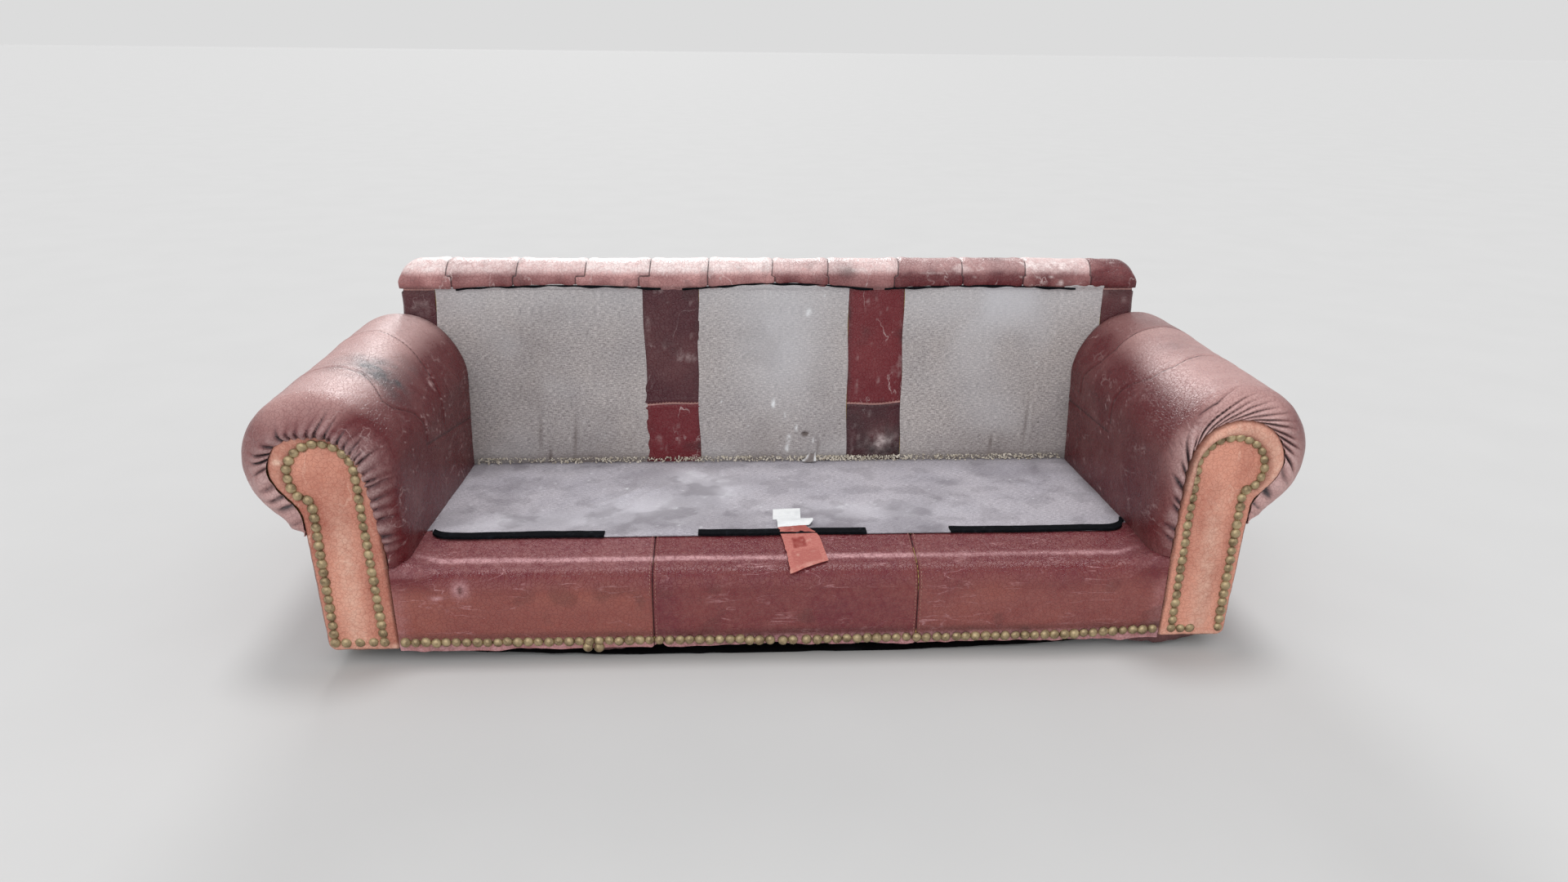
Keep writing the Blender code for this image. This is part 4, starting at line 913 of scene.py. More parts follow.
def makeDeck():
    edge = sofa["wallX"] + 0.010
    x = np.linspace(-edge, edge, deck["columns"])[None, :]
    share = np.linspace(0, 1, deck["rows"])[:, None]
    front = deckFront(x)
    y = front + (sofa["junctionY"] - 0.004 - front) * share
    points = np.stack([np.broadcast_to(x, y.shape), y, deckZ(y)], axis=-1)
    away = smooth(0.0, 0.10, share) * smooth(1.0, 0.9, share)
    clear = smooth(sofa["wallX"] + 0.001, sofa["wallX"] - 0.012, np.abs(points[..., 0]))
    z = 0.0035 + deck["sag"] * away * rough(points, 0.35, 61, 2)
    # pulls and creases of a loose cover
    for cx, cy, turn, length, depth in ((-0.36, -0.02, 1.25, 0.16, 0.0050),
            (-0.30, 0.00, 1.15, 0.18, 0.0042), (-0.42, -0.08, 1.0, 0.10, 0.0030),
                                        (-0.24, 0.05, 1.3, 0.10, 0.0026), (0.42, -0.05, 1.9, 0.07, 0.0020),
                                        (0.25, -0.02, 2.0, 0.05, 0.0016), (0.62, 0.02, 2.2, 0.06, 0.0016)):
        run = (points[..., 0] - cx) * math.cos(turn) + (points[..., 1] - cy) * math.sin(turn)
        off = (-(points[..., 0] - cx) * math.sin(turn) + (points[..., 1] - cy) * math.cos(turn)
            + 0.01 * np.sin(run * 28))
        z += depth * hill(run, 0, length / 1.6) * (hill(off, 0, 0.011) - 0.45 * hill(off, 0.020, 0.014))
    z += 0.0008 * rough(points, 0.05, 62, 3) * away
    points[..., 2] += np.maximum(z, -0.0012) * clear
    deckDarkening = 0.35 * smooth(0.02, 0.75, rough(points, 0.16, 63, 3)) + 0.25 * smooth(0.0, 0.5,
        rough(points, 0.05, 64, 3))
    # darker along the back edge, where the deck meets the back
    deckDarkening += 0.55 * smooth(0.03, 0.0, sofa["junctionY"] - points[..., 1])
    pale = 0.65 * blot(points, (-0.30, -0.12, 0.21), (0.13, 0.10, 1)) + 0.5 * blot(points,
        (-0.52, -0.20, 0.21), (0.16, 0.06, 1))
    pale += 0.75 * blot(points, (-0.16, 0.02, 0.21), (0.07, 0.10, 1)) + 0.6 * blot(points,
        (-0.24, 0.10, 0.20), (0.05, 0.06, 1)) + 0.45 * blot(points, (0.18, -0.16, 0.21), (0.20, 0.06, 1))
    pale += 0.35 * blot(points, (-0.68, -0.23, 0.22), (0.08, 0.05, 1))
    chalk = 0.5 * smooth(0.35, 0.8, rough(points, 0.035, 65, 3)) * pale + 0.8 * smooth(0.92, 1.25,
        rough(points, 0.010, 66, 3))
    marks = {"grime": np.clip(deckDarkening, 0, 0.9), "fade": np.clip(pale, 0, 0.85), "rub": np.clip(chalk, 0, 1)}
    piece = makeSurface("deck_cloth", points, (0, 0, 0.1), seatCanvas, marks, 0.002)
    finishPiece(piece, "canvas", "deck_canvas")


makeDeck()


def makeTape(placeName, node):
    low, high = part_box(node)
    x = np.linspace(low.x, high.x, 90)[None, :]
    share = np.linspace(0, 1, 7)[:, None]
    front = deckFront(x) - 0.0022 + 0.0012 * np.sin(x * 21)
    y = front + (high.y - low.y) * share * (1 - 0.25 * smooth(0.74, 0.79, np.abs(x)))
    points = np.stack([np.broadcast_to(x, y.shape), y, deckZ(y) + 0.0062], axis=-1)
    points[..., 2] += 0.0006 * rough(points, 0.03, 71, 2) + 0.0008
    marks = {"fade": np.clip(0.4 * smooth(0.3, 0.9, rough(points, 0.012, 72, 3)), 0, 1),
        "rub": 0.4 * smooth(0.9, 1.3, rough(points, 0.008, 73, 2))}
    piece = makeSurface("tape_" + placeName, points, (0, 0, 0.1), hookTape, marks, 0.005)
    finishPiece(piece, "black_tape", node)


for placeName in ("left", "middle", "right"):
    makeTape(placeName, "hook_tape_" + placeName)
print("deck and tapes laid")


# Back: canvas panels, straps and the leather ends.

back = {
    "low": 0.150, "rows": 100,
    "left": {"bow": (0.000, 0.005), "seed": 81, "crown": 0.006,
        "creases": ((-0.613, 0.277, 0.040), (-0.522, 0.266, 0.052), (-0.590, 0.215, 0.020)),
              "smears": (((-0.50, 0.25, 0.22), (0.16, 0.2, 0.05), "grime", 0.30),)},
    "middle": {"bow": (0.004, 0.000), "seed": 82, "crown": 0.011, "creases": ((0.120, 0.235, 0.020),),
                "hole": (0.083, 0.242, 0.270),
               "smears": (((0.02, 0.25, 0.50), (0.12, 0.2, 0.16), "fade", 0.55),
                   ((0.04, 0.25, 0.24), (0.10, 0.2, 0.05), "grime", 0.15))},
    "right": {"bow": (0.001, 0.002), "seed": 83, "crown": 0.006,
        "creases": ((0.679, 0.295, 0.050), (0.585, 0.240, 0.022)),
               "smears": (((0.60, 0.25, 0.22), (0.18, 0.2, 0.05), "grime", 0.25),
                   ((0.55, 0.25, 0.60), (0.25, 0.2, 0.06), "fade", 0.25))},
}


def makePanel(sectionName, start, end):
    look = back[sectionName]
    share = np.linspace(0, 1, int((end - start) / 0.0042))[None, :]
    # the top edge follows the roll's lip, and laps over the foam above it
    top = sofa["canvasTop"] - 0.001 + look["crown"] * np.sin(np.pi * share)
    z = back["low"] + (top - back["low"]) * np.linspace(0, 1, back["rows"])[:, None]
    middle = np.sin(np.pi * np.clip((z - 0.19) / 0.46, 0, 1))
    low = start - look["bow"][0] * middle * (start > -0.8) + 0.0015 * np.sin(z * 33)
    high = end + look["bow"][1] * middle * (end < 0.8) + 0.0015 * np.sin(z * 29 + 1) + 0.007 * smooth(0.50,
        0.20, z) * (sectionName == "left")
    x = low + (high - low) * share
    points = np.stack([x, canvasY(z), z], axis=-1)
    edge = np.minimum(share, 1 - share) * (end - start)
    push = 0.0012 + 0.0045 * smooth(0.0, 0.10, edge) * smooth(0.15, 0.26, z) * smooth(0.66, 0.60, z)
    push = push + (0.0010 * rough(points, 0.05, look["seed"], 3)
        + 0.0022 * rough(points, 0.25, look["seed"] + 1, 2) * smooth(0, 0.05, edge)) * smooth(0.656, 0.640,
        z)
    push = push + 0.0062 * smooth(0.648, 0.655, z)
    marks = {"fade": np.zeros(x.shape), "grime": np.zeros(x.shape), "rub": np.zeros(x.shape)}
    for cx, cz, tall in look["creases"]:
        off = x - cx - 0.06 * (z - cz)
        push = push - 0.0034 * hill(z, cz, tall) * hill(off, 0, 0.005) + 0.0024 * hill(z, cz,
            tall) * hill(off, 0.010, 0.006)
        # darker along each crease's valley
        marks["grime"] += 0.55 * hill(z, cz, tall) * hill(off, -0.001, 0.004)
    # patchy soil, and darker towards the bottom, where the canvas meets the deck
    marks["grime"] += 0.15 * smooth(0.1, 0.8, rough(points, 0.14, look["seed"] + 3, 3)) + 0.45 * smooth(
        0.23, 0.20, points[..., 2])
    marks["fade"] += 0.30 * smooth(0.0, 0.7, rough(points, 0.22, look["seed"] + 4, 2)) + 0.25 * smooth(
        0.50, 0.66, points[..., 2])
    marks["rub"] += 0.9 * smooth(1.02, 1.35, rough(points, 0.009, look["seed"] + 5, 3)) * (1.0
        if sectionName == "middle" else 0.5)
    for centre, radius, kind, strength in look["smears"]:
        marks[kind] += strength * blot(points, centre, radius)
    if "hole" in look:
        ragged = np.linalg.norm((points - np.array(look["hole"])) * np.array([1, 0.2, 1.5]),
            axis=-1) + 0.0025 * rough(points, 0.006, 84, 2)
        push = push - 0.006 * smooth(0.0095, 0.0055, ragged)
        # painted dark inside the ragged hole
        marks["grime"] += 1.6 * smooth(0.0115, 0.0075, ragged)
        for cx, cz, size in ((-0.002, 0.352, 0.006), (0.028, 0.318, 0.004), (0.060, 0.285, 0.004),
                (0.040, 0.255, 0.007), (0.036, 0.232, 0.006), (0.090, 0.587, 0.008), (0.105, 0.250, 0.003)):
            marks["rub"] += 1.5 * blot(points, (cx, 0.25, cz), (size * 0.7, 0.2, size * 1.6))
    points[..., 1] -= push
    piece = makeSurface("back_cloth_" + sectionName, points, (0.5 * (start + end), 0.40, 0.42), panelCanvas,
                        {key: np.clip(value, 0, 1) for key, value in marks.items()}, 0.002)
    finishPiece(piece, "canvas", "back_canvas_" + sectionName)


strapIn, strapOut = sofa["strapAt"] - sofa["strapWidth"] / 2, sofa["strapAt"] + sofa["strapWidth"] / 2
makePanel("left", -sofa["reach"] + 0.0005, -strapOut)
makePanel("middle", -strapIn, strapIn)
makePanel("right", strapOut, sofa["reach"] - 0.0005)

strap = {
    "left": {"seed": 91, "seamZ": 0.352}, "right": {"seed": 95, "seamZ": 0.350},
}
brightStrap = upholsteryLeather("crimson cowhide, less worn",
    dict(leatherLooks["back"], deep="#6c1620", faded="#a05050", worn="#7c3036", seam="#d3a39c",
        mottle=0.20, blotch=0.30))
backLooksDark = upholsteryLeather("oxblood cowhide, dark and dry",
    dict(leatherLooks["back"], crease=0.2, deep="#46141f", faded="#9a6a66", worn="#6a3438", seam="#c3938c",
        mottle=0.20, blotch=0.30))


def makeStrap(sideName, side):
    look = strap[sideName]
    z = np.linspace(back["low"], sofa["canvasTop"] - 0.001, back["rows"])[:, None]
    x = side * sofa["strapAt"] + np.linspace(-1, 1, 34)[None, :] * (sofa["strapWidth"] / 2 - 0.0002)
    x = np.broadcast_to(x, (len(z), 34))
    points = np.stack([x, np.broadcast_to(canvasY(z), x.shape), np.broadcast_to(z, x.shape)],
        axis=-1).copy()
    edge = np.abs(np.linspace(-1, 1, 34))[None, :]
    push = 0.0045 * (1 - edge ** 2.2) * smooth(0.16, 0.25, z) + 0.0008 * rough(points, 0.03, look["seed"],
        3)
    seam = (points[..., 2] - look["seamZ"] - 0.03 * (points[..., 0] - side * sofa["strapAt"])
        - 0.002 * np.sin(points[..., 0] * 40))
    push = push - 0.0022 * hill(seam, 0, 0.003) + 0.0010 * hill(np.abs(seam), 0.007, 0.004)
    lower = points[..., 2] < look["seamZ"]
    # patchy, and darker at both edges, where the strap meets the canvas
    grime = 0.30 * smooth(0.2, 0.9, rough(points, 0.05, look["seed"] + 1, 3)) + 0.35 * hill(edge, 1.0, 0.12)
    rub = (0.16 * smooth(0.55, 1.1, rough(points * np.array([1.6, 1, 1]), 0.03, look["seed"] + 2, 3))
        + 0.5 * smooth(1.15, 1.4, rough(points, 0.008, look["seed"] + 3, 2)))
    faded = 0.06 + 0.14 * rough(points, 0.10, look["seed"] + 4, 2)
    if sideName == "right":
        grime = grime + 0.60 * blot(points, (0.262, 0.24, 0.205), (0.075, 0.2, 0.035)) + 0.12 * lower
        rub = rub + 1.1 * blot(points, (0.292, 0.24, 0.240), (0.034, 0.2, 0.026)) * (0.5
            + 0.5 * rough(points, 0.012, 97, 2))
    points[..., 1] -= push
    marks = {"fade": np.clip(faded, 0, 1), "rub": np.clip(rub, 0, 1), "grime": np.clip(grime, 0, 1),
        "seam": seam}
    piece = makeSurface("strap_" + sideName, points, (side * sofa["strapAt"], 0.40, 0.42), backLooksDark,
        marks, 0.002)
    # one piece of each strap was cut from a brighter hide: the lower one on the left, the upper one on the
    # right
    piece.data.materials.append(brightStrap)
    for face in piece.data.polygons:
        face.material_index = int((face.center.z < look["seamZ"]) == (sideName == "left"))
    finishPiece(piece, "back_leather", "back_strap_" + sideName)


def makeBackEnd(sideName, side):
    corner = 0.020
    low, tail, top = 0.335, sofa["crestZ"] - sofa["tail"] - 0.001, sofa["canvasTop"]
    share = np.linspace(0, 1, 60)
    rows = []
    for part in share:
        z = low + (top - low) * part
        row = [(x, canvasY(z), z) for x in np.linspace(sofa["reach"] + 0.0003, sofa["backX"] - corner, 12)]
        for turn in np.linspace(8, 90, 9):
            angle = math.radians(turn)
            here = low + ((top if turn < 30 else tail) - low) * part
            row.append((sofa["backX"] - corner + corner * math.sin(angle), canvasY(here)
                + corner * (1 - math.cos(angle)), here))
        z = low + (tail - low) * part
        rear = outsideY(z) - 0.0033
        row += [(sofa["backX"], y, z) for y in np.linspace(canvasY(z) + corner, rear, 16)[1:]]
        rows.append(row)
    points = np.array(rows)
    points = points * np.array([side, 1, 1])
    inside = (side * 0.90, 0.34, 0.5)
    normal = outward(points, inside)
    height = 0.0015 * rough(points, 0.09, 101, 3) + 0.0006 * rough(points, 0.02, 102, 2)
    ease = smooth(0, 0.06, share) * smooth(1, 0.94, share)
    points += normal * (height * ease[:, None])[..., None]
    # patchy, and darker just under the top roll
    grime = 0.16 * smooth(0.1, 0.8, rough(points, 0.05, 103, 3)) + 0.30 * smooth(0.62, 0.655,
        points[..., 2])
    marks = {"fade": np.clip(0.10 + 0.2 * rough(points, 0.10, 104, 2), 0, 1),
        "rub": np.clip(0.10 * smooth(0.4, 1, rough(points, 0.025, 105, 2)), 0, 1), "grime": grime,
             "seam": points[..., 2] - 0.6495}
    piece = makeSurface("end_leather_" + sideName, points, inside, backLooksDark, marks, 0.002)
    finishPiece(piece, "back_leather", "back_end_" + sideName)


for sideName, side in (("left", -1), ("right", 1)):
    makeStrap(sideName, side)
    makeBackEnd(sideName, side)
print("back covered")


# Top roll: hides pieced side by side.

topRoll = {
    "upper": (-0.825, -0.650, -0.478, -0.315, -0.167, -0.003, 0.140, 0.322, 0.488, 0.653, 0.825),
    "lower": (-0.815, -0.662, -0.505, -0.345, -0.170, 0.002, 0.140, 0.310, 0.488, 0.645, 0.825),
    # each hide's fade; the high values of the first six hides also hold some painted highlight
    "fade": (0.84, 0.58, 0.60, 0.90, 0.96, 0.86, 0.44, 0.56, 0.14, 0.16, 0.62, 0.00),
    "pitch": 0.0040, "girth": 40,
}


def rollSection(count):
    angle = 180 + math.degrees(math.asin(sofa["lip"] / sofa["topR"]))
    axisZ = sofa["crestZ"] - sofa["topR"]
    axisY = canvasY(axisZ) - 0.010 + sofa["topR"]
    front = arcPath((axisY, axisZ), sofa["topR"], angle, 90, count // 2)
    rear = arcPath((axisY, axisZ), (outsideY(axisZ) - axisY, sofa["topR"]), 90, 0, count // 2)
    tailZ = sofa["crestZ"] - sofa["tail"]
    down = linePath(rear[-1], (rear[-1, 0] + outsideY(tailZ) - outsideY(rear[-1, 1]), tailZ), 5)
    return joinPaths([front, rear, down]), axisY, axisZ


def makeTopRoll():
    section, axisY, axisZ = rollSection(topRoll["girth"])
    half = sofa["backX"]
    ends = half - sofa["topR"] * (1 - np.sin(np.radians(np.linspace(90, 0, 14))))
    inner = np.linspace(-ends[-1], ends[-1], int(2 * ends[-1] / topRoll["pitch"]))
    stations = np.concatenate([-ends, inner[1:-1], ends[::-1]])
    beyond = np.clip(np.abs(stations) - (half - sofa["topR"]), 0, None) / sofa["topR"]
    fall = (1 - np.sqrt(np.clip(1 - beyond ** 2, 0, 1)))[:, None]
    y = axisY + 0.02 + (section[None, :, 0] - axisY - 0.02) * (1 - 0.10 * fall)
    z = section[None, :, 1] - 0.92 * fall * np.clip(section[None, :, 1] - axisZ, 0, None)
    points = np.stack([np.broadcast_to(stations[:, None], y.shape), y, z], axis=-1)
    caps = []
    for share in (0.25, 0.62, 0.90):
        centre = np.array([0, axisY + 0.030, sofa["crestZ"] - sofa["tail"] + 0.002])
        cap = centre + (points[0] - centre) * share
        cap[:, 0] = points[0, :, 0] - 0.004 * (1 - share)
        caps.append(cap)
    mirror = np.array([-1, 1, 1])
    points = np.concatenate([np.array(caps), points, np.array(caps[::-1]) * mirror])
    inside = np.stack([np.clip(points[..., 0], -0.90, 0.90), np.full(points.shape[:2], axisY + 0.02),
        np.full(points.shape[:2], axisZ - 0.02)], axis=-1)
    normal = np.cross(np.gradient(points, axis=1), np.gradient(points, axis=0))
    normal /= np.maximum(np.linalg.norm(normal, axis=-1, keepdims=True), 1e-9)
    if (normal * (points - inside)).sum() < 0:
        normal = -normal
    x = points[..., 0]
    upper = points[..., 2] > axisZ + 0.016
    leant = x - 0.10 * (points[..., 2] - sofa["crestZ"])
    seamUp = np.min([np.abs(leant - place) for place in topRoll["upper"]], axis=0)
    seamLow = np.min([np.abs(x - place) for place in topRoll["lower"]], axis=0)
    number = np.where(upper, np.searchsorted(topRoll["upper"], leant), np.searchsorted(topRoll["lower"], x))
    seam = np.where(upper, seamUp, seamLow)
    slit = np.full(x.shape, 0.05)
    for a, b in zip(topRoll["upper"], topRoll["lower"]):
        if abs(a - b) > 0.006:
            slit = np.where((x > min(a, b)) & (x < max(a, b)),
                np.minimum(slit, np.abs(points[..., 2] - axisZ - 0.016)), slit)
    seam = np.minimum(seam, slit)
    height = -0.0028 * hill(seam, 0, 0.0035) + 0.0018 * hill(seam, 0.016, 0.012)
    height += 0.0018 * rough(points, 0.12, 111, 3) + 0.0005 * rough(points, 0.02, 112, 2)
    height *= smooth(0, 6, np.minimum(np.arange(len(points)), np.arange(len(points))[::-1]))[:, None]
    # lower lip lifts off the canvas in a shallow arch over each panel
    lip = smooth(axisZ + 0.004, axisZ - 0.016, points[..., 2]) * (points[..., 1] < axisY)
    arch = 0.012 * hill(x, 0.02, 0.13) + 0.007 * hill(x, -0.58, 0.17) + 0.006 * hill(x, 0.52,
        0.16) - 0.004 * hill(x, -0.26, 0.06) - 0.004 * hill(x, 0.27, 0.06)
    points = points + normal * height[..., None]
    points[..., 2] += lip * (arch + 0.0012 * rough(np.stack([x, 0 * x, 0 * x], axis=-1), 0.02, 113, 2))
    patch = np.array(topRoll["fade"])[number]
    # the top is worn pale and carries a painted highlight, the front below it keeps more dye
    worn = smooth(axisZ + 0.014, axisZ + 0.036, points[..., 2])
    faded = patch - 0.26 + 0.30 * rough(points, 0.06, 114, 3) + 0.46 * worn - 0.22 * smooth(0.34, 0.40,
        points[..., 1])
    rub = 1.15 * worn * patch + 0.40 * smooth(0.35, 0.95,
        rough(points * np.array([0.5, 1, 1]), 0.025, 115, 3)) * worn
    rub += 1.0 * smooth(0.62, 1.0, rough(points * np.array([0.30, 1, 1]), 0.012, 116, 2)) * smooth(0.35,
        0.50, x) * smooth(0.92, 0.84, x)
    # a dark line painted along the lip's lower edge, where it turns under: painted shade
    grime = 0.55 * hill(points[..., 2], axisZ - 0.016, 0.006) + 0.25 * smooth(0.4, 1.0,
        rough(points, 0.04, 117, 3)) + 0.55 * blot(points, (0.19, 0.28, 0.695), (0.024, 0.06, 0.018))
    # the sign turns over from each hide to the next, so that the seam's zero stays sharp between grid
    # points
    marks = {"fade": np.clip(faded, 0, 1), "rub": np.clip(rub, 0, 1), "grime": np.clip(grime, 0, 1),
        "seam": np.where(number % 2, -seam, seam)}
    piece = makeSurface("roll_leather", points, (0, axisY + 0.02, axisZ - 0.02), backLeather, marks, 0.003,
        60)
    finishPiece(piece, "back_leather", "top_roll_cover")


makeTopRoll()


def makeLipTape(placeName, start, end, ends, crown):
    # black tape under the roll's lip, where the back cushions once fastened
    x = np.linspace(start, end, 90)[None, :]
    share = np.linspace(0, 1, 5)[:, None]
    u = (x - start) / (end - start)
    topZ = 0.6560 + ends + (crown - ends) * np.sin(np.pi * u)
    thick = 0.0050 + 0.0014 * np.sin(x * 37) + 0.0012 * np.sin(x * 91)
    z = topZ - thick * share
    y = canvasY(z) - 0.0085 - 0.002 * np.sin(np.pi * share) + 0 * x
    points = np.stack([np.broadcast_to(x, z.shape), y, z], axis=-1)
    piece = makeSurface("lip_tape_" + placeName, points, (0.5 * (start + end), 0.5, 0.66), hookTape, None,
        0.006)
    finishPiece(piece, "black_tape")


makeLipTape("left", -0.805, -0.290, -0.0010, 0.0066)
makeLipTape("middle", -0.235, 0.255, -0.0030, 0.0116)
makeLipTape("right", 0.285, 0.785, -0.0020, 0.0056)
print("top roll pieced")


# Outside leather.

outside = {"seed": 121}


def makeOutsideArm(sideName, side):
    top = sofa["rollZ"] - sofa["rollR"] - 0.0006
    stepTop = top + 0.064
    stepY = canvasY(stepTop)
    y = np.concatenate([np.linspace(sofa["frontY"] + 0.0083, stepY, 90),
        np.linspace(stepY + 0.004, outsideY(stepTop) - 0.0033, 24)])
    tops = np.where(y < stepY + 0.002, top, stepTop)
    share = np.linspace(0, 1, 46)[None, :]
    z = sofa["groundGap"] + 0.002 + (tops[:, None] - sofa["groundGap"] - 0.002) * share
    points = np.stack([np.full(z.shape, side * sofa["panelX"]), np.broadcast_to(y[:, None], z.shape), z],
        axis=-1).copy()
    edge = np.minimum(np.minimum(share, 1 - share) * 0.26, 0.05)
    ends = np.minimum(np.arange(len(y)), np.arange(len(y))[::-1])[:, None] * 0.006
    push = -0.0020 + 0.0030 * smooth(0, 0.05, np.minimum(edge, ends)) + 0.0012 * rough(points, 0.10,
        outside["seed"], 3) * smooth(0, 0.03, np.minimum(edge, ends))
    points[..., 0] += side * push
    faded = 0.32 + 0.18 * rough(points, 0.12, outside["seed"] + 2, 3) + 0.25 * smooth(0.10, 0.04,
        points[..., 2])
    rub = 0.4 * smooth(0.045, 0.034, points[..., 2])
    marks = {"fade": np.clip(faded, 0, 1), "rub": np.clip(rub, 0, 1),
        "grime": np.clip(0.4 * smooth(0.3, 0.9, rough(points, 0.06, outside["seed"] + 5, 3)), 0, 1)}
    piece = makeSurface("outside_leather_" + sideName, points, (0, 0, 0.15), armLeather, marks, 0.002)
    finishPiece(piece, "arm_leather", "outside_arm_" + sideName)


def makeOutsideBack():
    stepTop = sofa["rollZ"] - sofa["rollR"] - 0.0006 + 0.064
    z = np.concatenate([np.linspace(sofa["groundGap"] + 0.002, stepTop, 60),
        np.linspace(stepTop + 0.004, sofa["crestZ"] - sofa["tail"] - 0.001, 44)])
    half = np.where(z <= stepTop, sofa["panelX"], sofa["backX"])[:, None]
    share = np.linspace(-1, 1, 250)[None, :]
    x = half * share
    points = np.stack([x, np.broadcast_to(outsideY(z)[:, None], x.shape),
        np.broadcast_to(z[:, None], x.shape)], axis=-1).copy()
    edge = np.minimum(half - np.abs(x), np.minimum(z - z[0], z[-1] - z)[:, None])
    push = -0.0022 + 0.0045 * smooth(0, 0.12, edge) + 0.0018 * rough(points, 0.20, 131, 3) * smooth(0,
        0.05, edge)
    seam = np.minimum(np.abs(x + 0.32), np.abs(x - 0.32))
    push = push - 0.0016 * hill(seam, 0, 0.0045) + 0.0009 * hill(seam, 0.009, 0.005)
    points[..., 1] += push
    faded = 0.12 + 0.22 * rough(points, 0.18, 132, 3) + 0.2 * smooth(0.58, 0.64, points[..., 2])
    rub = 0.4 * smooth(0.045, 0.034, points[..., 2])
    marks = {"fade": np.clip(faded, 0, 1), "rub": np.clip(rub, 0, 1),
        "grime": np.clip(0.4 * smooth(0.2, 0.9, rough(points, 0.08, 134, 3)), 0, 1), "seam": seam}
    piece = makeSurface("outside_back_leather", points, (0, 0.2, 0.3), backLooksDark, marks, 0.002)
    finishPiece(piece, "back_leather", "outside_back")


for sideName, side in (("left", -1), ("right", 1)):
    makeOutsideArm(sideName, side)
makeOutsideBack()
print("outside covered")


# Dust cover, which also fills the shadow gap under the rail, torn hem and label.

under = {"seed": 141}


def makeDustCover():
    low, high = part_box("dust_cover")
    edge = high.x
    x = np.linspace(-edge, edge, 160)[None, :]
    share = np.linspace(0, 1, 60)[:, None]
    y = low.y + (high.y - low.y) * share + 0 * x
    across = np.clip(1 - (x / edge) ** 2, 0, 1)
    # the near-black cloth sags almost to the floor at the front, standing in for the shadow under the rail:
    # painted shadow
    z = high.z - (high.z - 0.0015) * across ** 0.8 * (1 - share ** 1.5)
    points = np.stack([np.broadcast_to(x, y.shape), y, z], axis=-1)
    fold = 0.0035 * rough(points * np.array([1, 0.35, 1]), 0.09, under["seed"], 2) + 0.0012 * rough(points,
        0.03, under["seed"] + 1, 2)
    points[..., 2] += fold * smooth(0, 0.05, 1 - np.abs(x) / edge) * smooth(1.0, 0.9, share) - 0.001
    points[..., 2] = np.clip(points[..., 2], 0.0012, high.z - 0.0006)
    piece = makeSurface("dust_cloth", points, (0, 0, 0.5), dustClothAndShadow,
        {"fade": np.clip(0.5 * rough(points, 0.08, 143, 2), 0, 0.6)}, 0.0)
    finishPiece(piece, "dust_cloth", "dust_cover")


def makeHemScrap(name, start, end, drop, seed, material, slotName):
    # strip that has come away under the rail and hangs ragged
    x = np.linspace(start, end, int((end - start) / 0.004))[None, :]
    share = np.linspace(0, 1, 10)[:, None]
    u = (x - start) / (end - start)
    ragged = drop * (0.35 + 0.65 * np.sin(np.pi * u) ** 0.5) * (0.8
        + 0.35 * cells(np.stack([x * 60, 0 * x, 0 * x], axis=-1), seed))
    z = 0.037 - (ragged + 0.006) * share
    y = sofa["frontY"] + 0.0045 + 0.006 * share * np.sin(x * 25 + seed) + 0.004 * share
    points = np.stack([np.broadcast_to(x, z.shape), np.broadcast_to(y, z.shape), z], axis=-1)
    points[..., 1] += 0.002 * rough(points, 0.02, seed + 1, 2) * share
    # the strip is darker towards its lower, hanging edge
    marks = {"fade": np.clip(0.35 + 0.3 * rough(points, 0.03, seed + 2, 2), 0, 1),
        "grime": np.clip(0.6 * share + 0 * x, 0, 1)}
    piece = makeSurface(name, points, (0.5 * (start + end), 0, 0.03), material, marks, 0.0015)
    finishPiece(piece, slotName)


makeDustCover()
makeHemScrap("hem_scrap_left", -0.458, -0.342, 0.016, 151, backLooksDark, "back_leather")
makeHemScrap("hem_scrap_right", 0.730, 0.910, 0.019, 161, backLooksDark, "back_leather")


def makeScrap():
    # torn scrap of lining caught in the crease behind the seat
    across = np.linspace(-1, 1, 12)[None, :]
    along = np.linspace(0, 1, 12)[:, None]
    x = 0.093 + 0.019 * across * (1 - 0.55 * along) + 0.010 * along
    y = sofa["junctionY"] - 0.006 - 0.024 * (1 - along) + 0.004 * across ** 2
    points = np.stack([x, y, deckZ(y) + 0.0065 + 0.016 * along ** 2 + 0.003 * across ** 2], axis=-1)
    points[..., 2] += 0.0015 * rough(points, 0.012, 181, 2)
    marks = {"rub": np.clip(1.2 * smooth(0.5, 1.0, np.abs(across)) + 0 * along, 0, 1),
        "grime": 0.75 * smooth(0.9, 0.4, np.abs(across)) + 0 * along}
    piece = makeSurface("torn_scrap", points, (0.09, 0.22, 0.1), panelCanvas, marks, 0.0012)
    finishPiece(piece, "canvas")


makeScrap()


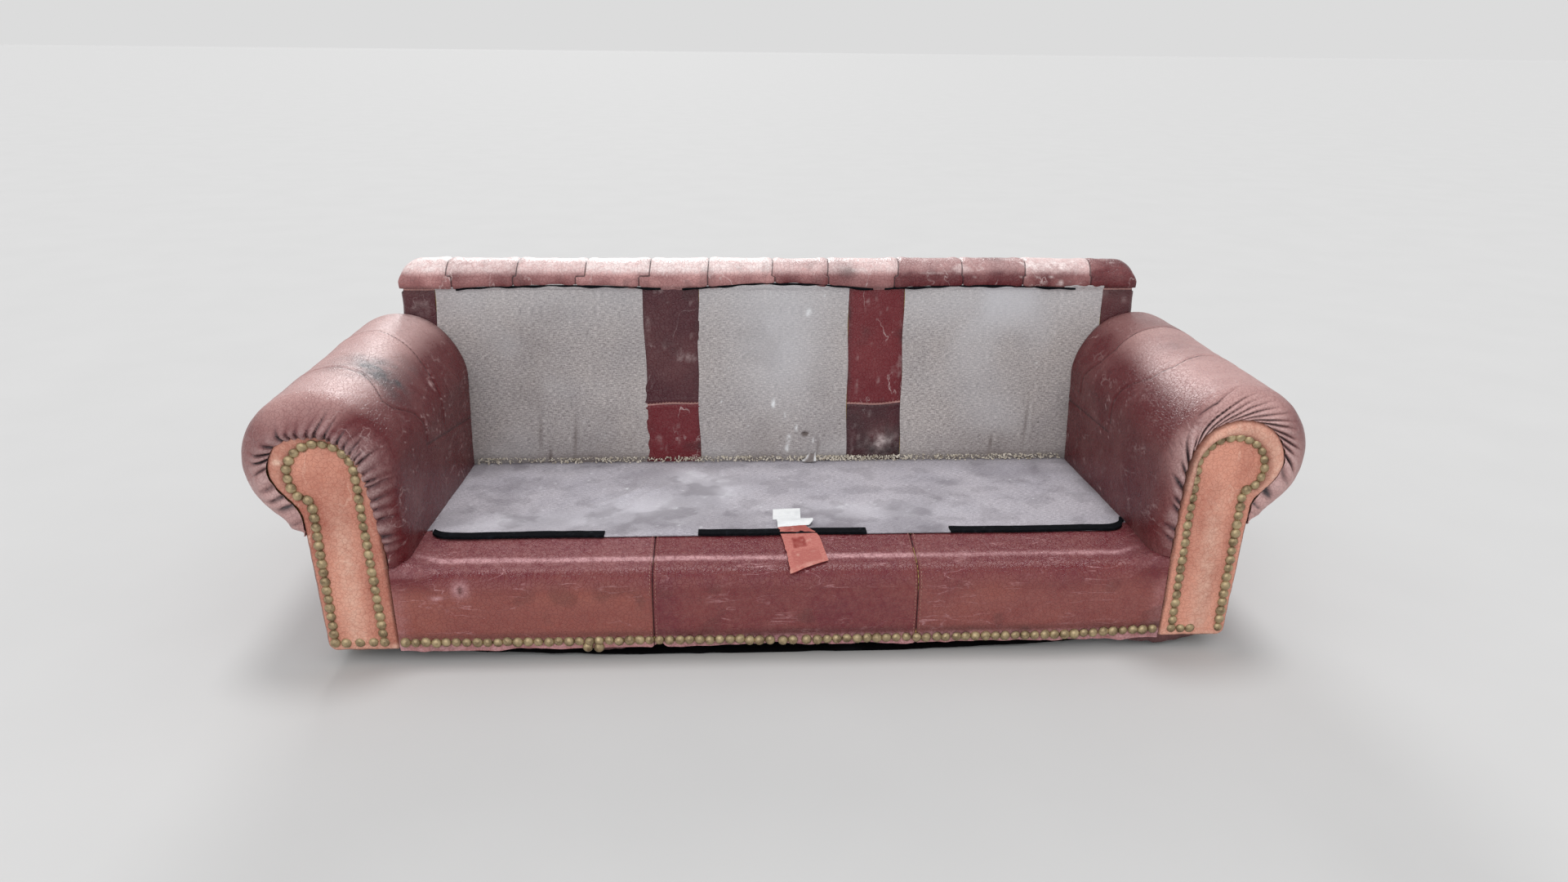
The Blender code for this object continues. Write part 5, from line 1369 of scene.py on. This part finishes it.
def makeLabel():
    # blank white label with its loose end folded over the tape, and a torn salmon flap hanging from it
    across = np.linspace(0, 1, 28)[None, :]
    along = np.linspace(0, 1, 34)[:, None]
    u = -0.021 + 0.064 * across + 0.003 * along
    v = -0.212 + 0.066 * along + 0.004 * across
    flat = np.stack([u, v, deckZ(v) + 0.0070], axis=-1)
    flat[..., 2] += 0.0008 * rough(flat, 0.03, 171, 2)
    piece = makeSurface("label_cloth_white", flat, (0, 0, 0.1), whiteLabelCloth,
        {"grime": np.clip(0.3 * rough(flat, 0.02, 172, 2), 0, 0.3)}, 0.001)
    # a long leaf: one end pointed, lifted in the middle
    u = -0.012 + (0.062 + 0.020 * np.sin(np.pi * (0.15 + 0.7 * along))) * across
    v = -0.262 + 0.052 * along + 0.012 * across * (1 - along)
    leaf = np.stack([u, v, deckZ(v) + 0.0090 + 0.0060 * np.sin(np.pi * along) * (0.5 + 0.5 * across)],
        axis=-1)
    leaf[..., 2] += 0.0010 * rough(leaf, 0.02, 173, 2)
    second = makeSurface("label_cloth_fold", leaf, (0, 0, 0.1), whiteLabelCloth,
        {"grime": np.clip(0.3 * rough(leaf, 0.02, 174, 2), 0, 0.3)}, 0.001)
    for made in (piece, second):
        finishPiece(made, "label_white_cloth")
    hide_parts("label_white")
    # the flap follows the canvas edge, the top of the rail and its nosing
    section = railSection((30, 40, 30))
    over = np.array([(-0.248, deckZ(-0.248) + 0.0068), (-0.270, deckZ(-0.270) + 0.0068),
        (-0.286, deckZ(-0.286) + 0.0066), (-0.296, 0.2268)])
    path = np.concatenate([over, leftOf(section, 0.0036)[-10:30:-1]])
    path = path[np.concatenate([[True], np.diff(path[:, 0]) < 0.0004])]
    run = np.concatenate([[0], np.cumsum(np.linalg.norm(np.diff(path, axis=0), axis=-1))])
    across = np.linspace(0, 1, 34)[None, :]
    along = np.linspace(0, 1, 70)[:, None]
    # longer on its left side, narrower where it is held
    length = 0.172 - 0.036 * across
    s = length * along
    v, z = np.interp(s, run, path[:, 0]), np.interp(s, run, path[:, 1])
    u = -0.012 + 0.022 * along + (0.062 + 0.020 * smooth(0.0, 0.45, along)) * across
    flap = np.stack([u, v, z], axis=-1)
    torn = smooth(0.06, 0.0, across) * 0.0025 * rough(np.stack([0 * s, s, 0 * s], axis=-1), 0.010, 179, 2)
    flap[..., 0] += torn
    flap[..., 2] += 0.0012 * rough(flap, 0.03, 175, 2) + 0.0015
    flap[..., 1] -= 0.0012 * (1 + rough(flap, 0.025, 177, 2)) * smooth(0.6, 1.0, along)
    dark = smooth(0.22, 0.27, across) * smooth(0.62, 0.57, across) * smooth(0.34, 0.38,
        along) * smooth(0.60, 0.56, along)
    dark = dark + 0.55 * smooth(0.34, 0.20, along) * smooth(0.1, 0.3, across)
    grime = np.clip(dark * (0.8 + 0.3 * rough(flap, 0.01, 176, 2)), 0, 1)
    middle = smooth(0.10, 0.16, across) * smooth(0.90, 0.84, across) * smooth(0.62, 0.66,
        along) * smooth(0.97, 0.92, along)
    marks = {"grime": grime + 0.22 * middle, "rub": 0.4 * smooth(0.5, 1.0, rough(flap, 0.012, 178, 2))
        + 0.3 * smooth(0.90, 0.96, along)}
    third = makeSurface("label_flap_cloth", flap, (0.03, -0.36, 0.14), salmonLabelCloth, marks, 0.001)
    finishPiece(third, "label_salmon_cloth", "label_flap")


makeLabel()
print("label, hem and dust cover hung")


# What repeats: nails, stitches and crumbs, each set from one Geometry Nodes tree.

nails = {
    "headWidth": 0.0228, "headRise": 0.0078, "facingPitch": 0.0206, "railPitch": 0.0214,
    "jitter": 0.0006, "tilt": 0.09, "seed": 7,
    # the rail's row wanders, and it is disturbed in the middle
    "rowX": (-0.81, -0.56, -0.355, -0.11, 0.005, 0.245, 0.425, 0.606, 0.80),
    "rowZ": (0.048, 0.045, 0.044, 0.042, 0.038, 0.040, 0.039, 0.040, 0.050),
    "rowSpans": ((-0.808, -0.035), (-0.006, 0.016), (0.046, 0.806)),
}
stitches = {"length": 0.0056, "pitch": 0.0082, "width": 0.0011, "seed": 17}
crumbs = {"size": 0.0100, "pitch": 0.0046, "seed": 27}


def linkMesh(name, points, edges=(), faces=()):
    mesh = bpy.data.meshes.new(name)
    mesh.from_pydata([tuple(point) for point in points], list(edges), list(faces))
    made = bpy.data.objects.new(name, mesh)
    bpy.context.scene.collection.objects.link(made)
    return made


def nailHead():
    # a domed head: three rings and a crown, open at the back, 72 faces
    around = 18
    radius, rise = nails["headWidth"] / 2, nails["headRise"]
    points = []
    for reach, up in ((1.0, 0.0), (0.97, 0.22), (0.82, 0.60), (0.48, 0.90)):
        points += [(radius * reach * math.cos(a), radius * reach * math.sin(a), rise * up)
                   for a in np.linspace(0, 2 * math.pi, around, endpoint=False)]
    points.append((0, 0, rise))
    faces = []
    for ring in range(3):
        for step in range(around):
            after = (step + 1) % around
            faces.append((ring * around + step, ring * around + after, (ring + 1) * around + after,
                (ring + 1) * around + step))
    faces += [(3 * around + step, 3 * around + (step + 1) % around, 4 * around) for step in range(around)]
    head = linkMesh("nail_pattern", points, (), faces)
    head.data.shade_smooth()
    return head


def stitchLoop():
    # one slack stitch: a short bowed thread of six sides
    points, faces = [], []
    for place in np.linspace(-1, 1, 5):
        centre = (place * stitches["length"] / 2, 0.0, 0.0007 * (1 - place * place))
        radius = stitches["width"] / 2 * (1 - 0.35 * place ** 4)
        points += [(centre[0], radius * math.cos(a), centre[2] + radius * math.sin(a))
            for a in np.linspace(0, 2 * math.pi, 6, endpoint=False)]
    for ring in range(4):
        for step in range(6):
            after = (step + 1) % 6
            faces.append((ring * 6 + step, (ring + 1) * 6 + step, (ring + 1) * 6 + after, ring * 6 + after))
    faces += [tuple(range(6)), tuple(range(29, 23, -1))]
    made = linkMesh("stitch_pattern", points, (), faces)
    made.data.shade_smooth()
    return made


def crumbGrain():
    # a crumb or a bit of chaff: an uneven eight-cornered lump
    rng = np.random.default_rng(crumbs["seed"])
    ring = [(math.cos(a), math.sin(a)) for a in np.linspace(0, 2 * math.pi, 6, endpoint=False)]
    points = [(0, 0, -0.5)] + [(x * rng.uniform(0.6, 1.1), y * rng.uniform(0.35, 0.6),
        rng.uniform(-0.2, 0.2)) for x, y in ring] + [(0.1, 0, 0.45)]
    faces = [(0, 1 + (k + 1) % 6, 1 + k) for k in range(6)] + [(7, 1 + k, 1 + (k + 1) % 6)
        for k in range(6)]
    return linkMesh("crumb_pattern", [tuple(c * crumbs["size"] / 2 for c in point) for point in points],
        (), faces)


def repeatTree(name, follows):
    # copies of a pattern set along the edges of its mesh, or scattered over its faces
    tree = bpy.data.node_groups.new(name, "GeometryNodeTree")
    tree.interface.new_socket("Geometry", in_out="INPUT", socket_type="NodeSocketGeometry")
    kinds = {"Pattern": "NodeSocketObject", "Finish": "NodeSocketMaterial", "Seed": "NodeSocketInt"}
    for key in ("Pattern", "Finish", "Seed", "Pitch", "Jitter", "Tilt", "Spin", "Smallest", "Largest"):
        tree.interface.new_socket(key, in_out="INPUT", socket_type=kinds.get(key, "NodeSocketFloat"))
    tree.interface.new_socket("Geometry", in_out="OUTPUT", socket_type="NodeSocketGeometry")
    given = addNode(tree, "NodeGroupInput").outputs
    normal = addNode(tree, "GeometryNodeInputNamedAttribute",
        {"data_type": "FLOAT_VECTOR", "Name": "facing"}).outputs[0]
    if follows == "edges":
        curve = addNode(tree, "GeometryNodeMeshToCurve", {}, {"Mesh": given["Geometry"]}).outputs[0]
        points = addNode(tree, "GeometryNodeResampleCurve", {"mode": "LENGTH"},
            {"Curve": curve, "Length": given["Pitch"]}).outputs[0]
        along = addNode(tree, "GeometryNodeInputTangent").outputs[0]
    else:
        area = addNode(tree, "ShaderNodeMath", {"operation": "MULTIPLY"},
            {0: given["Pitch"], 1: given["Pitch"]}).outputs[0]
        density = addNode(tree, "ShaderNodeMath", {"operation": "DIVIDE", 0: 1.0}, {1: area}).outputs[0]
        thick = addNode(tree, "GeometryNodeInputNamedAttribute",
            {"data_type": "FLOAT", "Name": "thick"}).outputs[0]
        density = addNode(tree, "ShaderNodeMath", {"operation": "MULTIPLY"},
            {0: density, 1: thick}).outputs[0]
        points = addNode(tree, "GeometryNodeDistributePointsOnFaces", {},
            {"Mesh": given["Geometry"], "Density": density, "Seed": given["Seed"]}).outputs[0]
        along = addNode(tree, "ShaderNodeCombineXYZ", {"X": 1.0}).outputs[0]
    flat = addNode(tree, "FunctionNodeAlignRotationToVector", {"axis": "Z"}, {"Vector": normal}).outputs[0]
    turned = addNode(tree, "FunctionNodeAlignRotationToVector", {"axis": "X", "pivot_axis": "Z"},
        {"Rotation": flat, "Vector": along}).outputs[0]
    most = addNode(tree, "ShaderNodeCombineXYZ", {},
        {"X": given["Tilt"], "Y": given["Tilt"], "Z": given["Spin"]}).outputs[0]
    least = addNode(tree, "ShaderNodeVectorMath", {"operation": "SCALE", "Scale": -1.0},
        {0: most}).outputs[0]
    lean = addNode(tree, "FunctionNodeRandomValue", {"data_type": "FLOAT_VECTOR"},
        {0: least, 1: most, "Seed": given["Seed"]}).outputs[0]
    lean = addNode(tree, "FunctionNodeEulerToRotation", {}, {0: lean}).outputs[0]
    turned = addNode(tree, "FunctionNodeRotateRotation", {"rotation_space": "LOCAL"},
        {0: turned, 1: lean}).outputs[0]
    most = addNode(tree, "ShaderNodeCombineXYZ", {},
        {"X": given["Jitter"], "Y": given["Jitter"], "Z": given["Jitter"]}).outputs[0]
    least = addNode(tree, "ShaderNodeVectorMath", {"operation": "SCALE", "Scale": -1.0},
        {0: most}).outputs[0]
    drift = addNode(tree, "FunctionNodeRandomValue", {"data_type": "FLOAT_VECTOR"},
        {0: least, 1: most, "Seed": given["Seed"]}).outputs[0]
    placed = addNode(tree, "GeometryNodeSetPosition", {}, {"Geometry": points, "Offset": drift}).outputs[0]
    scale = addNode(tree, "FunctionNodeRandomValue", {"data_type": "FLOAT"},
        {2: given["Smallest"], 3: given["Largest"], "Seed": given["Seed"]}).outputs[1]
    pattern = addNode(tree, "GeometryNodeObjectInfo", {}, {"Object": given["Pattern"]}).outputs["Geometry"]
    copies = addNode(tree, "GeometryNodeInstanceOnPoints", {},
        {"Points": placed, "Instance": pattern, "Rotation": turned, "Scale": scale}).outputs[0]
    real = addNode(tree, "GeometryNodeRealizeInstances", {}, {0: copies}).outputs[0]
    painted = addNode(tree, "GeometryNodeSetMaterial", {},
        {"Geometry": real, "Material": given["Finish"]}).outputs[0]
    addNode(tree, "NodeGroupOutput", {}, {0: painted})
    return tree


alongEdges = repeatTree("copies along edges", "edges")
overFaces = repeatTree("copies over faces", "faces")


def growCopies(name, carrier, tree, slotName, **values):
    modifier = carrier.modifiers.new("copies", "NODES")
    modifier.node_group = tree
    inputs = {item.name: item.identifier for item in tree.interface.items_tree if item.in_out == "INPUT"}
    usual = {"Pitch": 0.02, "Spin": 0.0, "Smallest": 1.0, "Largest": 1.0, "Tilt": 0.0, "Jitter": 0.0,
        "Seed": 1}
    for key, value in dict(usual, **values).items():
        modifier[inputs[key]] = value
    bpy.context.view_layer.update()
    mesh = bpy.data.meshes.new_from_object(carrier.evaluated_get(bpy.context.evaluated_depsgraph_get()))
    mesh.name = name
    bpy.data.objects.remove(carrier, do_unlink=True)
    piece = bpy.data.objects.new(name, mesh)
    bpy.context.scene.collection.objects.link(piece)
    return finishPiece(piece, slotName)


def pathMesh(name, paths, normals):
    # several open paths in one mesh, with the way each point faces
    points, edges = [], []
    for path in paths:
        edges += [(len(points) + step, len(points) + step + 1) for step in range(len(path) - 1)]
        points += [tuple(point) for point in path]
    carrier = linkMesh(name + "_path", points, edges)
    layer = carrier.data.attributes.new("facing", "FLOAT_VECTOR", "POINT")
    layer.data.foreach_set("vector", np.concatenate(normals).astype(np.float32).ravel())
    return carrier


def onFront(points, depth):
    # points in X and Z set on the front plane, with the way they face
    solid = np.stack([points[:, 0], np.full(len(points), sofa["frontY"] + depth), points[:, 1]], axis=-1)
    return solid, np.broadcast_to((0.0, -1.0, 0.0), solid.shape)


def makeFacingNails(sideName, side):
    rows = [nailLoop(sideName)]
    inner = facing[sideName]["inner"][2]
    if sideName == "left":
        rows.append(linePath((0.929, 0.0505), (inner + 0.0235, 0.0510), 6))
    else:
        rows.append(linePath((inner + 0.0205, 0.0500), (inner + 0.0415, 0.0505), 6))
    placed = [onFront(row * np.array([side, 1]), 0.0004) for row in rows]
    carrier = pathMesh("nails_" + sideName, [p for p, n in placed], [n for p, n in placed])
    growCopies("nails_facing_" + sideName, carrier, alongEdges, "nail_brass", Pattern=nailPattern,
        Finish=finishes["brass"],
               Pitch=nails["facingPitch"], Jitter=nails["jitter"], Tilt=nails["tilt"], Spin=3.1,
               Smallest=0.93, Largest=1.05,
               Seed=nails["seed"] + (side > 0))


def railNailZ(x):
    return np.interp(x, nails["rowX"], nails["rowZ"])


def makeRailNails():
    rows = []
    for start, end in nails["rowSpans"]:
        x = np.linspace(start, end, 60)
        rows.append(np.stack([x, railNailZ(x)], axis=-1))
    rows.append(linePath((-0.424, 0.0300), (-0.400, 0.0295), 3))
    placed = [onFront(row, -0.0004) for row in rows]
    carrier = pathMesh("nails_rail", [p for p, n in placed], [n for p, n in placed])
    growCopies("nails_rail", carrier, alongEdges, "nail_brass", Pattern=nailPattern,
        Finish=finishes["brass"], Pitch=nails["railPitch"],
               Jitter=0.0010, Tilt=0.18, Spin=3.1, Smallest=0.92, Largest=1.06, Seed=nails["seed"] + 5)


def makeStitches():
    # two rows along each seam of the rail, one across each strap
    section = railSection((40, 30, 30))[:-5]
    section = section[section[:, 1] > 0.052]
    run = np.gradient(section, axis=0)
    run /= np.linalg.norm(run, axis=-1, keepdims=True)
    normal = np.stack([np.zeros(len(run)), -run[:, 1], run[:, 0]], axis=-1)
    paths, normals = [], []
    for seamX in (-sofa["railSeam"], sofa["railSeam"]):
        for off in (-0.0058, 0.0058):
            path = np.stack([np.full(len(section), seamX + off), section[:, 0], section[:, 1]],
                axis=-1) + normal * 0.0014
            paths.append(path)
            normals.append(normal)
    carrier = pathMesh("rail_stitches", paths, normals)
    growCopies("stitches_rail", carrier, alongEdges, "rail_leather", Pattern=stitchPattern,
        Finish=finishes["thread"],
               Pitch=stitches["pitch"], Jitter=0.0002, Spin=0.10, Seed=stitches["seed"])
    paths, normals = [], []
    for sideName, side in (("left", -1), ("right", 1)):
        x = side * sofa["strapAt"] + np.linspace(-1, 1, 30) * (sofa["strapWidth"] / 2 - 0.006)
        z = strap[sideName]["seamZ"] + 0.0035 + 0.03 * (x - side * sofa["strapAt"]) + 0.002 * np.sin(x * 40)
        edge = np.abs(np.linspace(-1, 1, 30))
        paths.append(np.stack([x, canvasY(z) - 0.0047 * (1 - edge ** 2.2) - 0.0006, z], axis=-1))
        normals.append(np.broadcast_to((0.0, -1.0, 0.1), (30, 3)))
    carrier = pathMesh("strap_stitches", paths, normals)
    growCopies("stitches_strap", carrier, alongEdges, "back_leather", Pattern=stitchPattern,
        Finish=finishes["thread"],
               Pitch=stitches["pitch"], Jitter=0.0003, Spin=0.08, Seed=stitches["seed"] + 1)


def makeCrumbs():
    # crumbs and chaff gathered in the crease behind the seat, and strays on the canvas
    x = np.linspace(-0.78, 0.78, 240)[None, :]
    share = np.linspace(0, 1, 10)[:, None]
    y = sofa["junctionY"] - 0.003 - 0.016 * share
    z = deckZ(y) + 0.0062 + 0.010 * (1 - share) ** 2
    points = np.stack([np.broadcast_to(x, (10, 240)), np.broadcast_to(y, (10, 240)),
        np.broadcast_to(z, (10, 240))], axis=-1)
    thick = 0.75 + 0.9 * smooth(-0.2, 0.6, rough(points, 0.06, 201, 2)) + 1.4 * smooth(0.02, 0.14,
        x) * smooth(0.42, 0.30, x)
    thick = thick * (1 - share) ** 0.8
    index = np.arange(2400).reshape(10, 240)
    quads = np.stack([index[:-1, :-1], index[1:, :-1], index[1:, 1:], index[:-1, 1:]], axis=-1).reshape(-1,
        4)
    carrier = linkMesh("crumb_strip", points.reshape(-1, 3).tolist(), (), quads.tolist())
    carrier.data.attributes.new("thick", "FLOAT", "POINT").data.foreach_set("value",
        thick.astype(np.float32).ravel())
    up = np.broadcast_to((0.0, -0.5, 0.8), (2400, 3)).astype(np.float32)
    carrier.data.attributes.new("facing", "FLOAT_VECTOR", "POINT").data.foreach_set("vector", up.ravel())
    growCopies("crumbs_crease", carrier, overFaces, "canvas", Pattern=crumbPattern,
        Finish=finishes["crumb"], Pitch=crumbs["pitch"],
               Jitter=0.0010, Tilt=0.6, Spin=3.1, Smallest=0.25, Largest=1.0, Seed=crumbs["seed"])


nailPattern, stitchPattern, crumbPattern = nailHead(), stitchLoop(), crumbGrain()
for sideName, side in (("left", -1), ("right", 1)):
    makeFacingNails(sideName, side)
makeRailNails()
makeStitches()
makeCrumbs()
for pattern in (nailPattern, stitchPattern, crumbPattern):
    bpy.data.objects.remove(pattern, do_unlink=True)
print("nails, stitches and crumbs laid")


# The CAD's hard parts keep their shape and take a finish.
hardParts = {
    "beech": ("front_rail", "rear_seat_rail", "back_rail", "top_rail", "side_rail_left", "side_rail_right",
        "arm_rail_left",
              "arm_rail_right", "scroll_board_left", "scroll_board_right", "back_post_left",
              "back_post_right",
              "back_upright_left", "back_upright_right"),
    "foam": ("arm_pad_left", "arm_pad_right", "rail_pad", "deck_pad", "back_pad", "top_roll_pad"),
    "wire": tuple("seat_spring_%d" % number for number in range(1, 10)),
    "glide": ("foot_front_left", "foot_front_right", "foot_rear_left", "foot_rear_right"),
}
for finish, nodes in hardParts.items():
    for node in nodes:
        part = bpy.data.objects[node]
        part.data.materials.clear()
        part.data.materials.append(finishes[finish])
print("frame, foam, springs and feet finished")


# Camera, light and floor.
camera = bpy.data.cameras.new("camera")
camera.lens = 24.44
camera.sensor_width = 36.0
cameraObject = bpy.data.objects.new("camera", camera)
bpy.context.scene.collection.objects.link(cameraObject)
forward = Vector((0.0516, 0.9332, -0.3556)).normalized()
right = forward.cross(Vector((0.0085, 0.3556, 0.9346))).normalized()
up = right.cross(forward)
cameraObject.matrix_world = Matrix.Translation((-0.1191, -2.4174, 1.2588)) @ Matrix(
    (right, up, -forward)).transposed().to_4x4()
bpy.context.scene.camera = cameraObject

studio = {
    "key": {"energy": 0.95, "angle": 16.0, "turn": (-11.0, 5.0, 0.0)},
    "fill": {"energy": 0.85, "angle": 60.0, "turn": (62.0, 0.0, -12.0)},
    "rim": {"energy": 1.15, "angle": 16.0, "turn": (-66.0, 0.0, 6.0)},
    "world": "#dcdcdc", "worldStrength": 0.90,
}
for lampName in ("key", "fill", "rim"):
    look = studio[lampName]
    lamp = bpy.data.lights.new(lampName, "SUN")
    lamp.energy = look["energy"]
    lamp.angle = math.radians(look["angle"])
    lampObject = bpy.data.objects.new(lampName, lamp)
    bpy.context.scene.collection.objects.link(lampObject)
    lampObject.rotation_euler = [math.radians(turn) for turn in look["turn"]]

world = bpy.data.worlds.new("studio")
bpy.context.scene.world = world
world.use_nodes = True
sky = world.node_tree
backdrop = sky.nodes["Background"]
backdrop.inputs["Color"].default_value = linear(studio["world"])
path = addNode(sky, "ShaderNodeLightPath")
seen = addNode(sky, "ShaderNodeMath", {"operation": "MAXIMUM"},
    {0: path.outputs["Is Camera Ray"], 1: path.outputs["Is Glossy Ray"]})
seen = addNode(sky, "ShaderNodeMath", {"operation": "MAXIMUM"},
    {0: seen.outputs[0], 1: path.outputs["Is Transmission Ray"]})
strength = addNode(sky, "ShaderNodeMapRange", {"To Min": studio["worldStrength"], "To Max": 1.0},
    {"Value": seen.outputs[0]})
sky.links.new(strength.outputs[0], backdrop.inputs["Strength"])
bpy.context.scene.view_settings.view_transform = "Standard"

# Pale floor, painted screed.
screed, tree, shader = newMaterial("screed, painted pale")
spot = addNode(tree, "ShaderNodeTexCoord").outputs["Object"]
cloud = addNode(tree, "ShaderNodeTexNoise", {"Scale": 3.0, "Detail": 3.0}, {"Vector": spot}).outputs["Fac"]
tone = addNode(tree, "ShaderNodeValToRGB", {"ramp": [(0.3, "#cacaca"), (0.7, "#cccccc")]},
    {0: cloud}).outputs[0]
tree.links.new(tone, shader.inputs["Base Color"])
shader.inputs["Roughness"].default_value = 0.9
shader.inputs["Specular IOR Level"].default_value = 0.05
mesh = bpy.data.meshes.new("floor")
mesh.from_pydata([(-90, -90, 0), (90, -90, 0), (90, 90, 0), (-90, 90, 0)], [], [(0, 1, 2, 3)])
mesh.materials.append(screed)
floor = bpy.data.objects.new("floor", mesh)
bpy.context.scene.collection.objects.link(floor)
print("camera, light and floor set")
